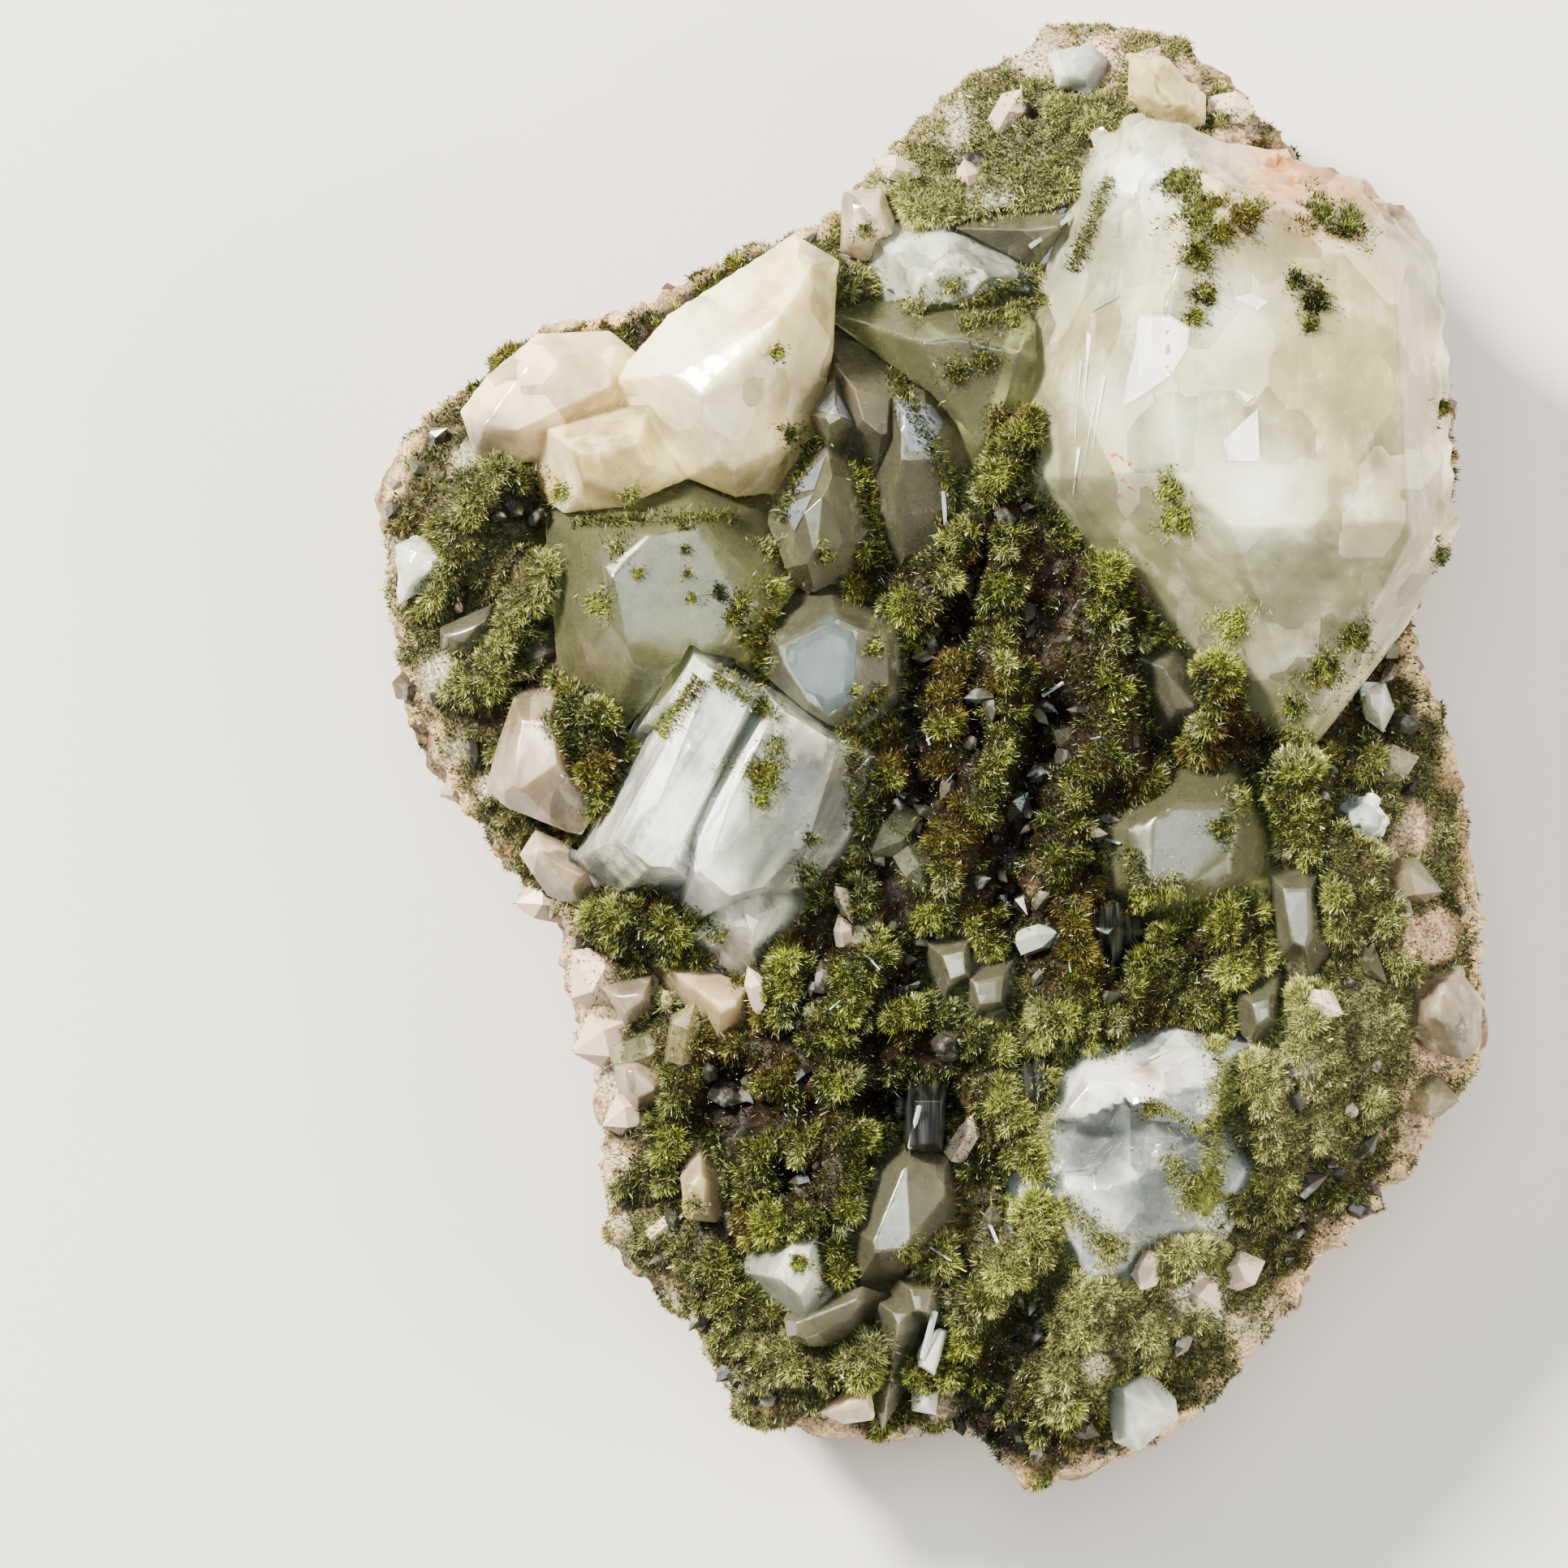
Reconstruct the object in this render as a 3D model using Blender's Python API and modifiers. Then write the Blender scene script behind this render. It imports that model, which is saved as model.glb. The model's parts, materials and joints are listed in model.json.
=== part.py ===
"""Epidote with quartz: a natural mineral specimen, lying on its back with its crystals up.

A rough plate of rock carries a crust of epidote, grown in ridges and lumps, and on it stand
clear, milky, cream and grey quartz crystals and two black epidote prisms.

Metres, +Z up. The origin is the middle of the footprint on the surface that it rests on.
+Y runs along the specimen, and +X across it. Lengths in the tables are millimetres.
"""

import math

import bmesh
import bpy
import numpy as np
from mathutils import Vector, geometry, noise

MM = 0.001

# The rock plate
SLAB_THICKNESS = 8.0
VOXEL = 0.62
RIM_TOP = 8.2
CENTRE_TOP = 13.0
TOP_RISE_LENGTH = 3.6
RIM_BOTTOM = 5.0
CENTRE_BOTTOM = -0.55
BOTTOM_RISE_LENGTH = 4.2
ROCK_SHARE = 0.18

# The crystals
SINK = 2.2
GAP = 0.3
RHOMB_ANGLE = math.radians(51.8)
RIM_ZONE = 3.2
FOOT_SLOPE = 112

# The plate's outline seen from above, clockwise from its top end
OUTLINE = (
    (5.9, 29.9), (7.5, 29.5), (9.8, 29.0), (11.8, 27.2), (13.6, 25.1), (15.3, 23.6), (16.8, 22.0),
    (18.9, 20.4), (19.9, 17.5), (20.1, 14.8), (20.6, 12.2), (20.8, 9.5), (20.4, 7.4), (19.5, 5.3),
    (20.0, 2.5), (20.8, -0.2), (21.3, -2.8), (22.1, -5.3), (22.3, -7.5), (22.3, -10.3), (22.2, -12.3),
    (21.4, -14.0), (20.3, -15.5), (18.9, -17.5), (16.2, -20.2), (14.2, -22.5), (12.5, -25.0),
    (10.7, -27.2), (9.1, -28.0), (7.5, -29.0), (5.9, -29.9), (3.7, -29.6), (2.6, -28.3), (1.5, -27.4),
    (-0.1, -27.7), (-2.0, -28.3), (-4.1, -28.0), (-5.8, -27.4), (-7.9, -27.1), (-9.0, -25.0),
    (-10.8, -22.8), (-13.0, -20.0), (-13.4, -17.5), (-13.9, -13.5), (-14.5, -10.5), (-15.4, -7.5),
    (-17.0, -4.8), (-19.0, -2.0), (-20.7, 0.8), (-22.0, 4.2), (-22.7, 7.5), (-22.4, 10.8),
    (-20.8, 13.2), (-18.5, 15.3), (-15.5, 17.1), (-12.1, 18.2), (-9.1, 19.8), (-6.5, 21.0),
    (-4.1, 21.6), (-3.1, 23.3), (-0.8, 25.3), (1.2, 26.8), (2.9, 27.8), (4.5, 29.2),
)

# Broad rises and hollows of the plate: x, y, radius, height
SWELLS = (
    (20.0, 14.0, 5.5, 4.2), (13.0, 20.0, 6.0, 1.6), (18.0, 22.0, 4.0, 1.8), (5.0, 12.0, 4.0, 1.0),
    (-15.0, 13.5, 4.5, 1.2), (-7.0, 19.0, 4.0, 1.4), (2.0, 24.0, 4.5, -1.6), (9.0, 28.0, 3.5, 0.8),
    (19.0, -9.0, 4.0, 0.9), (9.0, -16.0, 6.0, 1.2), (4.0, -24.0, 5.0, 0.8), (-9.0, -17.0, 5.0, -1.0),
    (-17.0, 5.0, 5.0, -1.3), (0.0, 6.0, 5.0, -0.4), (-12.0, -11.0, 3.5, -0.8), (-6.0, 1.0, 6.0, 0.6),
)

# Ridges of epidote: half width, height, and their points from upper end to lower end
RIDGES = (
    (1.15, 1.7, ((0.3, 7.7), (-0.5, 5.9), (-1.8, 5.3), (-2.4, 4.9))),
    (1.0, 1.6, ((3.1, 8.6), (2.5, 6.5), (2.2, 5.6))),
    (1.1, 1.9, ((3.8, 13.4), (2.6, 11.6), (1.9, 10.0), (1.2, 8.8))),
    (1.1, 1.9, ((7.0, 7.0), (7.0, 4.9), (6.7, 3.7), (7.1, 1.6), (7.0, -0.5), (5.6, -1.5), (5.2, -3.0),
                (4.7, -5.2))),
    (1.0, 1.8, ((2.8, 4.1), (2.7, 2.5), (3.0, 1.6))),
    (1.1, 1.9, ((2.8, 0.4), (2.1, -1.1), (1.5, -2.6), (0.7, -3.7), (0.3, -5.1))),
    (0.9, 1.4, ((1.0, 3.8), (0.4, 1.9), (0.7, -0.2), (0.3, -0.8))),
    (1.0, 1.5, ((-2.1, -0.3), (-2.7, -2.0), (-3.0, -3.2))),
    (0.9, 1.3, ((-5.1, -2.9), (-5.5, -4.0), (-5.5, -5.2))),
    (0.9, 1.4, ((-0.3, -5.5), (0.1, -7.0))),
    (0.8, 1.1, ((1.6, -6.9), (1.6, -8.5), (1.6, -9.6))),
    (1.1, 1.8, ((-2.5, -8.2), (-3.4, -9.4), (-4.0, -10.9), (-4.6, -12.0), (-3.9, -13.8))),
    (1.0, 1.5, ((-6.1, -8.4), (-6.1, -9.4), (-6.5, -10.5))),
    (1.1, 1.7, ((-3.6, -15.5), (-3.7, -17.0), (-3.9, -18.5))),
    (1.0, 1.8, ((-5.8, -16.0), (-4.6, -16.9), (-4.9, -18.8), (-6.2, -19.6), (-7.4, -18.9), (-7.6, -17.2),
                (-6.8, -16.2))),
    (0.9, 1.6, ((2.5, -14.2), (3.7, -15.8), (4.0, -17.6), (4.0, -19.8), (3.0, -21.3), (1.9, -22.5),
                (1.1, -23.6), (0.3, -24.8), (-0.4, -25.8))),
    (0.8, 1.2, ((0.0, -20.2), (0.0, -21.8))),
    (1.0, 1.3, ((-1.9, -10.9), (-0.4, -10.6), (1.1, -11.2), (2.5, -12.4), (3.0, -13.5))),
    (1.0, 1.5, ((4.7, -11.2), (5.6, -9.7), (5.9, -7.9), (5.6, -6.7))),
    (1.0, 1.6, ((15.0, -0.5), (14.8, -2.0), (15.0, -3.5))),
    (1.0, 1.5, ((16.3, -4.2), (16.3, -5.8), (16.6, -7.2))),
    (0.9, 1.4, ((12.1, -6.4), (11.7, -7.6), (12.1, -9.1))),
    (1.0, 1.9, ((11.8, 5.7), (11.9, 3.9), (11.4, 2.1), (10.6, 0.4))),
    (0.9, 1.5, ((-18.1, 11.8), (-18.9, 10.3), (-19.8, 8.9), (-20.2, 7.6), (-21.0, 6.1))),
    (0.9, 1.5, ((-15.8, 7.6), (-16.7, 6.3), (-17.8, 4.5), (-18.1, 3.0), (-19.6, 2.7))),
    (0.8, 1.2, ((-15.2, 3.3), (-14.9, 1.8), (-15.5, 1.2))),
    (0.8, 1.6, ((-12.8, 3.3), (-13.1, 2.1), (-14.1, 0.6), (-14.1, -0.9), (-14.0, -2.7))),
    (0.9, 1.3, ((-14.9, -6.7), (-13.4, -6.7), (-12.2, -7.3), (-11.0, -7.4))),
    (0.8, 1.3, ((-3.0, 12.7), (-2.9, 10.8), (-3.2, 9.5))),
    (0.9, 1.3, ((-3.1, 8.2), (-3.6, 6.8))),
    (1.0, 1.2, ((-11.1, -12.2), (-9.1, -11.8), (-8.5, -12.2))),
    (1.0, 1.5, ((-10.8, -13.8), (-11.1, -15.8), (-10.8, -17.2))),
    (1.0, 1.3, ((-9.5, -21.2), (-8.8, -22.5), (-7.8, -24.2))),
    (1.0, 1.4, ((-7.1, -25.2), (-5.1, -25.8), (-3.1, -25.2), (-1.8, -24.4))),
    (1.1, 1.4, ((6.5, -22.0), (5.9, -23.2), (5.5, -25.2), (5.2, -27.2))),
    (1.1, 1.5, ((9.5, -21.2), (10.9, -19.8), (12.2, -18.2))),
    (1.1, 1.6, ((12.9, -13.1), (13.5, -14.6), (13.9, -16.5), (13.5, -18.5))),
    (1.0, 1.3, ((14.9, -10.8), (15.5, -13.2), (15.9, -15.8))),
    (0.9, 1.2, ((17.5, -4.2), (18.2, -6.5), (18.9, -8.5))),
    (1.0, 1.2, ((4.5, -11.2), (6.5, -11.2), (8.2, -10.2))),
    (0.9, 1.2, ((0.9, -25.6), (1.9, -26.5))),
    (1.0, 1.0, ((-1.8, 23.8), (0.9, 25.6), (3.5, 27.0))),
    (1.0, 1.1, ((-1.1, 22.5), (1.5, 21.9), (3.5, 22.8), (5.9, 23.2))),
    (1.0, 1.0, ((5.2, 26.5), (6.8, 25.8), (6.4, 24.2))),
)

# Separate tufts of epidote: x, y, radius, height
TUFTS = (
    (-3.2, -5.9, 0.9, 1.3), (9.0, -8.9, 1.0, 1.1), (10.4, -10.3, 1.0, 1.0), (8.6, -24.0, 1.2, 1.1),
    (10.6, -23.4, 1.1, 1.0), (12.0, -21.4, 1.2, 1.1), (16.2, -17.8, 1.2, 0.9), (17.8, -14.6, 1.2, 0.9),
    (18.4, -11.6, 1.0, 0.8), (3.0, -26.9, 1.0, 0.9), (-6.4, -13.6, 1.0, 1.1), (-8.6, -14.4, 0.9, 1.0),
    (-12.4, -17.6, 0.9, 0.9), (-11.4, -20.0, 0.9, 0.8), (8.4, -1.2, 0.9, 0.9), (13.0, -0.6, 0.9, 1.0),
    (18.0, -0.4, 1.0, 1.0), (0.2, 14.9, 0.8, 0.8), (-1.4, 16.6, 0.8, 0.6), (7.4, -22.4, 1.0, 1.0),
)

# Dark recesses: x, y, radius, depth
PITS = (
    (-15.8, 4.6, 1.5, 1.5), (-16.6, 9.4, 1.6, 1.4), (4.6, 0.8, 1.2, 1.5), (1.3, 5.0, 1.0, 1.2),
    (3.7, 5.0, 1.0, 1.2), (-8.3, -14.2, 1.4, 1.4), (-1.2, -14.8, 1.5, 1.3), (2.6, -18.2, 1.3, 1.4),
    (3.9, -23.4, 1.4, 1.4), (13.2, -0.4, 1.2, 1.2), (11.2, -8.6, 1.0, 1.0), (-5.8, -17.6, 0.9, 2.2),
    (-1.8, 10.0, 1.0, 1.0), (-2.9, 7.3, 0.8, 1.0), (12.0, -16.3, 1.3, 1.3), (13.2, -17.4, 1.0, 1.0),
    (-1.0, -8.4, 1.5, 1.2), (3.6, -6.0, 1.2, 1.2), (9.2, 0.4, 1.3, 1.0), (-19.6, 6.0, 1.0, 0.8),
)


def distance_to_line(x, y, points):
    """Distance from each x, y to a line of straight runs through the points."""
    best = np.full(np.shape(x), 1e9)
    for (ax, ay), (bx, by) in zip(points[:-1], points[1:]):
        dx, dy = bx - ax, by - ay
        share = np.clip(((x - ax) * dx + (y - ay) * dy) / (dx * dx + dy * dy), 0.0, 1.0)
        best = np.minimum(best, np.hypot(x - ax - share * dx, y - ay - share * dy))
    return best


def inset(x, y):
    """Distance in from the plate's outline."""
    return distance_to_line(x, y, OUTLINE + OUTLINE[:1])


def ground(x, y):
    """The plate's upper surface without its ridges and pits."""
    x, y = np.asarray(x, float), np.asarray(y, float)
    height = CENTRE_TOP - (CENTRE_TOP - RIM_TOP) * np.exp(-inset(x, y) / TOP_RISE_LENGTH)
    for sx, sy, radius, rise in SWELLS:
        height = height + rise * np.exp(-((x - sx) ** 2 + (y - sy) ** 2) / radius ** 2)
    return height


def underside(x, y):
    """The plate's lower surface, which is cut flat where it would pass below the floor."""
    depth = np.exp(-inset(x, y) / BOTTOM_RISE_LENGTH)
    return CENTRE_BOTTOM + (RIM_BOTTOM - CENTRE_BOTTOM) * depth


def lumps(x, y, z, size, seed):
    """Smooth noise between -1 and 1 with lumps of the given size."""
    shift = Vector((seed * 7.3, seed * 3.1, seed * 1.7))
    points = zip(x / size, y / size, z / size)
    return np.array([noise.noise(Vector(point) + shift) for point in points])


def crust(x, y):
    """How far the epidote ridges, tufts and pits raise or lower the upper surface."""
    raised = np.zeros(np.shape(x))
    for half_width, rise, points in RIDGES:
        across = distance_to_line(x, y, points) / half_width
        raised = np.maximum(raised, rise * np.clip(1.0 - across ** 2, 0.0, 1.0))
    for tx, ty, radius, rise in TUFTS:
        across = np.hypot(x - tx, y - ty) / radius
        raised = np.maximum(raised, rise * np.clip(1.0 - across ** 2, 0.0, 1.0))
    lowered = np.zeros(np.shape(x))
    for px, py, radius, depth in PITS:
        across = np.hypot(x - px, y - py) / radius
        lowered = np.maximum(lowered, depth * np.exp(-across ** 2))
    return raised, lowered


def material(name, colour, roughness, alpha=1.0):
    """A plain surface of one colour."""
    made = bpy.data.materials.new(name)
    made.use_nodes = True
    shader = made.node_tree.nodes["Principled BSDF"]
    shader.inputs["Base Color"].default_value = (*colour, 1.0)
    shader.inputs["Roughness"].default_value = roughness
    shader.inputs["Metallic"].default_value = 0.0
    shader.inputs["Alpha"].default_value = alpha
    return made


def place(name, mesh, collection):
    """An object of this mesh in this collection."""
    made = bpy.data.objects.new(name, mesh)
    collection.objects.link(made)
    return made


def evaluated_mesh(piece):
    """A new mesh of the object as its modifiers leave it."""
    bpy.context.view_layer.update()
    graph = bpy.context.evaluated_depsgraph_get()
    return bpy.data.meshes.new_from_object(piece.evaluated_get(graph))


def apply_modifiers(piece):
    """Put the result of the object's modifiers into its mesh."""
    mesh = evaluated_mesh(piece)
    piece.modifiers.clear()
    old = piece.data
    piece.data = mesh
    bpy.data.meshes.remove(old)


def plate_slab(collection):
    """The outline as a flat slab, remeshed into even faces."""
    curve = bpy.data.curves.new("plate_outline", "CURVE")
    curve.dimensions = "2D"
    curve.fill_mode = "BOTH"
    curve.extrude = SLAB_THICKNESS / 2 * MM
    curve.resolution_u = 3
    spline = curve.splines.new("BEZIER")
    spline.bezier_points.add(len(OUTLINE) - 1)
    for knot, (x, y) in zip(spline.bezier_points, OUTLINE):
        knot.co = (x * MM, y * MM, 0.0)
        knot.handle_left_type = "AUTO"
        knot.handle_right_type = "AUTO"
    spline.use_cyclic_u = True
    outline = place("plate_outline", curve, collection)
    slab = place("epidote_matrix", evaluated_mesh(outline), collection)
    bpy.data.objects.remove(outline)
    shell = bmesh.new()
    shell.from_mesh(slab.data)
    bmesh.ops.remove_doubles(shell, verts=shell.verts, dist=0.00001)
    shell.to_mesh(slab.data)
    shell.free()
    remesh = slab.modifiers.new("even_faces", "REMESH")
    remesh.mode = "VOXEL"
    remesh.voxel_size = VOXEL * MM
    apply_modifiers(slab)
    return slab


def shape_plate(slab):
    """Move the slab's points to the plate's domed, ridged and pitted surface."""
    count = len(slab.data.vertices)
    flat = np.empty(count * 3)
    slab.data.vertices.foreach_get("co", flat)
    points = flat.reshape(count, 3) / MM
    x, y = points[:, 0], points[:, 1]
    share = np.clip(points[:, 2] / SLAB_THICKNESS + 0.5, 0.0, 1.0)
    raised, lowered = crust(x, y)
    surface = ground(x, y) + 0.6 * lumps(x, y, 0 * x, 4.0, 1) + 0.4 * lumps(x, y, 0 * x, 1.7, 2)
    surface = surface + raised * (1.0 + 0.35 * lumps(x, y, 0 * x, 1.1, 3)) - lowered
    base = underside(x, y) + 1.0 * lumps(x, y, 0 * x, 6.5, 4) + 0.5 * lumps(x, y, 0 * x, 2.8, 7)
    z = base + (surface - base) * share
    rim = np.exp(-inset(x, y) / 1.2)
    reach = 0.7 * rim * lumps(x, y, z, 3.4, 5) + 0.35 * rim * lumps(x, y, z, 1.4, 6)
    length = np.hypot(x, y) + 1e-6
    points = np.column_stack((x + reach * x / length, y + reach * y / length, z))
    slab.data.vertices.foreach_set("co", (points * MM).ravel())
    slab.data.update()


def lighten(piece, share):
    """Keep this share of the object's triangles, most of them where it is rough."""
    modifier = piece.modifiers.new("fewer_faces", "DECIMATE")
    modifier.decimate_type = "COLLAPSE"
    modifier.ratio = share
    modifier.use_collapse_triangulate = True
    apply_modifiers(piece)


def cut_flat(piece):
    """Cut the piece off at the floor, so that it has a flat face to rest on."""
    shell = bmesh.new()
    shell.from_mesh(piece.data)
    everything = shell.verts[:] + shell.edges[:] + shell.faces[:]
    bmesh.ops.bisect_plane(shell, geom=everything, dist=0.000001, plane_co=(0, 0, 0),
                           plane_no=(0, 0, -1), clear_outer=True)
    bmesh.ops.holes_fill(shell, edges=[edge for edge in shell.edges if edge.is_boundary])
    bmesh.ops.recalc_face_normals(shell, faces=shell.faces)
    shell.to_mesh(piece.data)
    shell.free()


def keep_largest(piece):
    """Drop loose crumbs, and keep the body with the most faces."""
    shell = bmesh.new()
    shell.from_mesh(piece.data)
    left = set(shell.faces)
    bodies = []
    while left:
        body = [left.pop()]
        for face in body:
            for edge in face.edges:
                for other in edge.link_faces:
                    if other in left:
                        left.remove(other)
                        body.append(other)
        bodies.append(body)
    bodies.sort(key=len)
    crumbs = [face for body in bodies[:-1] for face in body]
    bmesh.ops.delete(shell, geom=crumbs, context="FACES")
    shell.to_mesh(piece.data)
    shell.free()


def facing(point, azimuth, slope):
    """A plane through the point that looks towards azimuth, tipped by slope from level."""
    around, tip = math.radians(azimuth), math.radians(slope)
    normal = Vector((math.sin(tip) * math.cos(around), math.sin(tip) * math.sin(around), math.cos(tip)))
    return Vector(point), normal


def gem(outline, rise, slopes=(72, 64, 78), lean=(0, 0), hold=0.35, sink=SINK, extra=()):
    """A crystal from its outline seen from above.

    Its top face stands rise above the plate and leans by slope towards an azimuth. A side falls
    away from each edge of the outline, and passes through it at the share hold of the rise.
    Near the rim the side draws in again below that.
    extra holds more faces: x, y, drop below the top face, azimuth and slope.
    """
    order = geometry.convex_hull_2d([Vector(point) for point in outline])
    hull = [outline[index] for index in order]
    area = sum(ax * by - bx * ay for (ax, ay), (bx, by) in zip(hull, hull[1:] + hull[:1]))
    if area < 0:
        hull.reverse()
    mx = sum(x for x, y in hull) / len(hull)
    my = sum(y for x, y in hull) / len(hull)
    floor = float(ground(mx, my))
    azimuth, slope = lean
    top_point, top_normal = facing((mx, my, floor + rise), azimuth, slope)

    def top_height(x, y):
        across = top_normal.x * (x - mx) + top_normal.y * (y - my)
        return top_point.z - across / top_normal.z

    planes = [(top_point, top_normal), facing((mx, my, floor - sink), 0, 180)]
    for step, ((ax, ay), (bx, by)) in enumerate(zip(hull, hull[1:] + hull[:1])):
        side_x, side_y = (ax + bx) / 2, (ay + by) / 2
        outward = math.degrees(math.atan2(ax - bx, by - ay))
        side_z = floor + (top_height(side_x, side_y) - floor) * hold
        planes.append(facing((side_x, side_y, side_z), outward, slopes[step % len(slopes)]))
        if inset(side_x, side_y) < RIM_ZONE:
            planes.append(facing((side_x, side_y, side_z), outward, FOOT_SLOPE))
    for x, y, drop, around, tip in extra:
        planes.append(facing((x, y, top_height(x, y) - drop), around, tip))
    return planes


def quartz_point(tip, azimuth, roll, reach, floor, ends=()):
    """A lying quartz crystal: three prism faces and three tip faces, above a flat floor.

    Its long axis is level and its point looks towards azimuth. The middle prism face looks up,
    rolled by roll. reach holds the distance of each prism face from the axis through the tip.
    """
    around = math.radians(azimuth)
    axis = Vector((math.cos(around), math.sin(around), 0.0))
    side = axis.cross(Vector((0.0, 0.0, 1.0)))
    planes = [facing((tip[0], tip[1], floor), 0, 180)]
    for turn, distance in zip((-60, 0, 60), reach):
        angle = math.radians(roll + turn)
        normal = side * math.sin(angle) + Vector((0.0, 0.0, math.cos(angle)))
        planes.append((Vector(tip) + normal * distance, normal))
        end = axis * math.cos(RHOMB_ANGLE) + normal * math.sin(RHOMB_ANGLE)
        planes.append((Vector(tip), end))
    for point, around, slope in ends:
        planes.append(facing(point, around, slope))
    return planes


def middle_of(planes):
    """A point inside the planes: the mean of the points that they pass through."""
    return sum((point for point, normal in planes), Vector()) / len(planes)


def cut_block(name, planes, margin, collection):
    """A block cut down by every plane, each moved out by margin."""
    bpy.ops.mesh.primitive_cube_add(size=60 * MM, location=middle_of(planes) * MM)
    block = bpy.context.active_object
    shell = bmesh.new()
    shell.from_mesh(block.data)
    bmesh.ops.translate(shell, verts=shell.verts, vec=block.location)
    bpy.data.objects.remove(block)
    for point, normal in planes:
        everything = shell.verts[:] + shell.edges[:] + shell.faces[:]
        bmesh.ops.bisect_plane(shell, geom=everything, dist=0.000001, plane_no=normal,
                               plane_co=(point + normal * margin) * MM, clear_outer=True)
        bmesh.ops.holes_fill(shell, edges=[edge for edge in shell.edges if edge.is_boundary])
    bmesh.ops.remove_doubles(shell, verts=shell.verts, dist=0.00004)
    bmesh.ops.recalc_face_normals(shell, faces=shell.faces)
    mesh = bpy.data.meshes.new(name)
    shell.to_mesh(mesh)
    shell.free()
    return place(name, mesh, collection)


def combine(piece, other, operation):
    """Add a Boolean of another object to the piece."""
    modifier = piece.modifiers.new(other.name, "BOOLEAN")
    modifier.operation = operation
    modifier.solver = "EXACT"
    modifier.object = other


def near(planes, others, reach=24.0):
    """Whether two crystals are close enough to touch."""
    return (middle_of(planes) - middle_of(others)).length < reach


def grow(name, surface, gems, standing, parts, cutters):
    """One crystal or one group grown together, clear of every crystal that already stands."""
    pieces = [cut_block(name, planes, 0.0, parts) for planes in gems]
    crystal = pieces[0]
    for other in pieces[1:]:
        combine(crystal, other, "UNION")
    for planes, cutter in standing:
        if any(near(planes, own) for own in gems):
            combine(crystal, cutter, "DIFFERENCE")
    if crystal.modifiers:
        apply_modifiers(crystal)
        keep_largest(crystal)
    for other in pieces[1:]:
        bpy.data.objects.remove(other)
    crystal.name = name
    crystal.data.materials.clear()
    crystal.data.materials.append(surface)
    for planes in gems:
        cutter = cut_block("socket_" + name, planes, GAP, cutters)
        cutter.display_type = "WIRE"
        cutter.hide_render = True
        standing.append((planes, cutter))
    return crystal


def big_block():
    """The large milky crystal, its point towards the bottom and its other end rough."""
    ends = (
        ((15.0, 21.2, 20.2), 74, 66), ((18.3, 20.7, 17.4), 46, 70), ((5.8, 20.6, 13.4), 161, 62),
        ((9.4, 23.2, 17.6), 118, 50), ((21.6, 12.0, 14.6), 3, 128), ((15.0, 24.2, 14.0), 74, 122),
    )
    return quartz_point((15.2, 0.6, 13.4), -87, -8, (6.2, 6.7, 8.7), 11.4, ends)


def tabular_block():
    """The white block, with a groove along it and a clear crystal on its lower end."""
    left = ((-9.5, 3.6), (-7.2, 2.3), (-8.0, 0.9), (-9.6, -0.9), (-10.5, -2.6), (-10.7, -4.9),
            (-11.9, -4.9), (-13.4, -3.7))
    right = ((-6.7, 2.1), (-3.3, 0.0), (-4.5, -3.5), (-6.6, -5.6), (-8.8, -6.2), (-10.0, -5.3),
             (-9.9, -2.8), (-9.0, -1.0), (-7.3, 1.2))
    step = ((-11.2, 1.8), (-10.3, 3.0), (-10.0, 4.1), (-8.9, 3.4), (-9.9, 1.6))
    clear = ((-9.4, -5.3), (-6.8, -5.2), (-6.0, -6.5), (-7.5, -8.4), (-8.8, -7.5))
    return [
        gem(left, 4.6, (80, 74, 84), (150, 6), hold=0.8),
        gem(right, 4.2, (82, 70, 60), (-60, 5), hold=0.7),
        gem(step, 3.2, (80, 70), (160, 14), hold=0.8),
        gem(clear, 2.6, (64, 56), (-80, 22)),
    ]


def white_block():
    """The white fractured block: four slabs folded over each other."""
    return [
        gem(((4.2, -15.5), (5.7, -14.6), (6.1, -13.0), (7.6, -12.7), (8.3, -13.8), (7.8, -15.8),
             (6.2, -17.2), (4.6, -17.4)), 2.4, (60, 70), (150, 14), hold=0.5),
        gem(((7.2, -12.9), (10.4, -12.0), (11.8, -12.4), (11.4, -14.4), (10.2, -15.9), (8.0, -16.0),
             (7.1, -14.2)), 2.8, (66, 74), (70, 12), hold=0.5),
        gem(((6.0, -17.0), (8.0, -15.4), (10.6, -15.6), (11.4, -17.0), (10.2, -19.2), (8.2, -19.8),
             (6.2, -18.8)), 2.9, (68, 60), (-60, 16), hold=0.5),
        gem(((4.6, -17.2), (6.6, -16.8), (8.4, -19.0), (7.6, -20.8), (6.3, -21.1), (5.2, -19.4)), 2.0,
            (62, 70), (200, 16), hold=0.5),
    ]


def cream_cluster():
    """The bright cream crystal with a roof-like ridge, and the two that grew into it."""
    bright = ((-13.4, 15.2), (-11.0, 17.9), (-5.9, 21.2), (-4.0, 20.1), (-4.2, 16.7), (-5.5, 13.3),
              (-6.7, 11.5), (-8.3, 10.4), (-10.4, 11.3), (-12.1, 13.5))
    pinkish = ((-19.6, 14.0), (-18.5, 15.4), (-16.4, 17.2), (-13.4, 17.3), (-12.1, 16.2), (-12.1, 14.2),
               (-15.1, 12.7), (-17.1, 11.8), (-19.1, 12.2))
    yellowish = ((-15.8, 13.0), (-14.9, 10.3), (-12.6, 9.3), (-10.6, 11.2), (-11.9, 13.7))
    roof = ((-6.8, 17.0, 0.0, -47, 36), (-6.8, 11.6, 2.6, -75, 52))
    return [
        gem(bright, 5.4, (66, 72, 60), (133, 24), hold=0.15, sink=3.0, extra=roof),
        gem(pinkish, 2.4, (58, 66), (120, 12), hold=0.2),
        gem(yellowish, 2.5, (60, 66), (-100, 12), hold=0.3),
    ]


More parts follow.
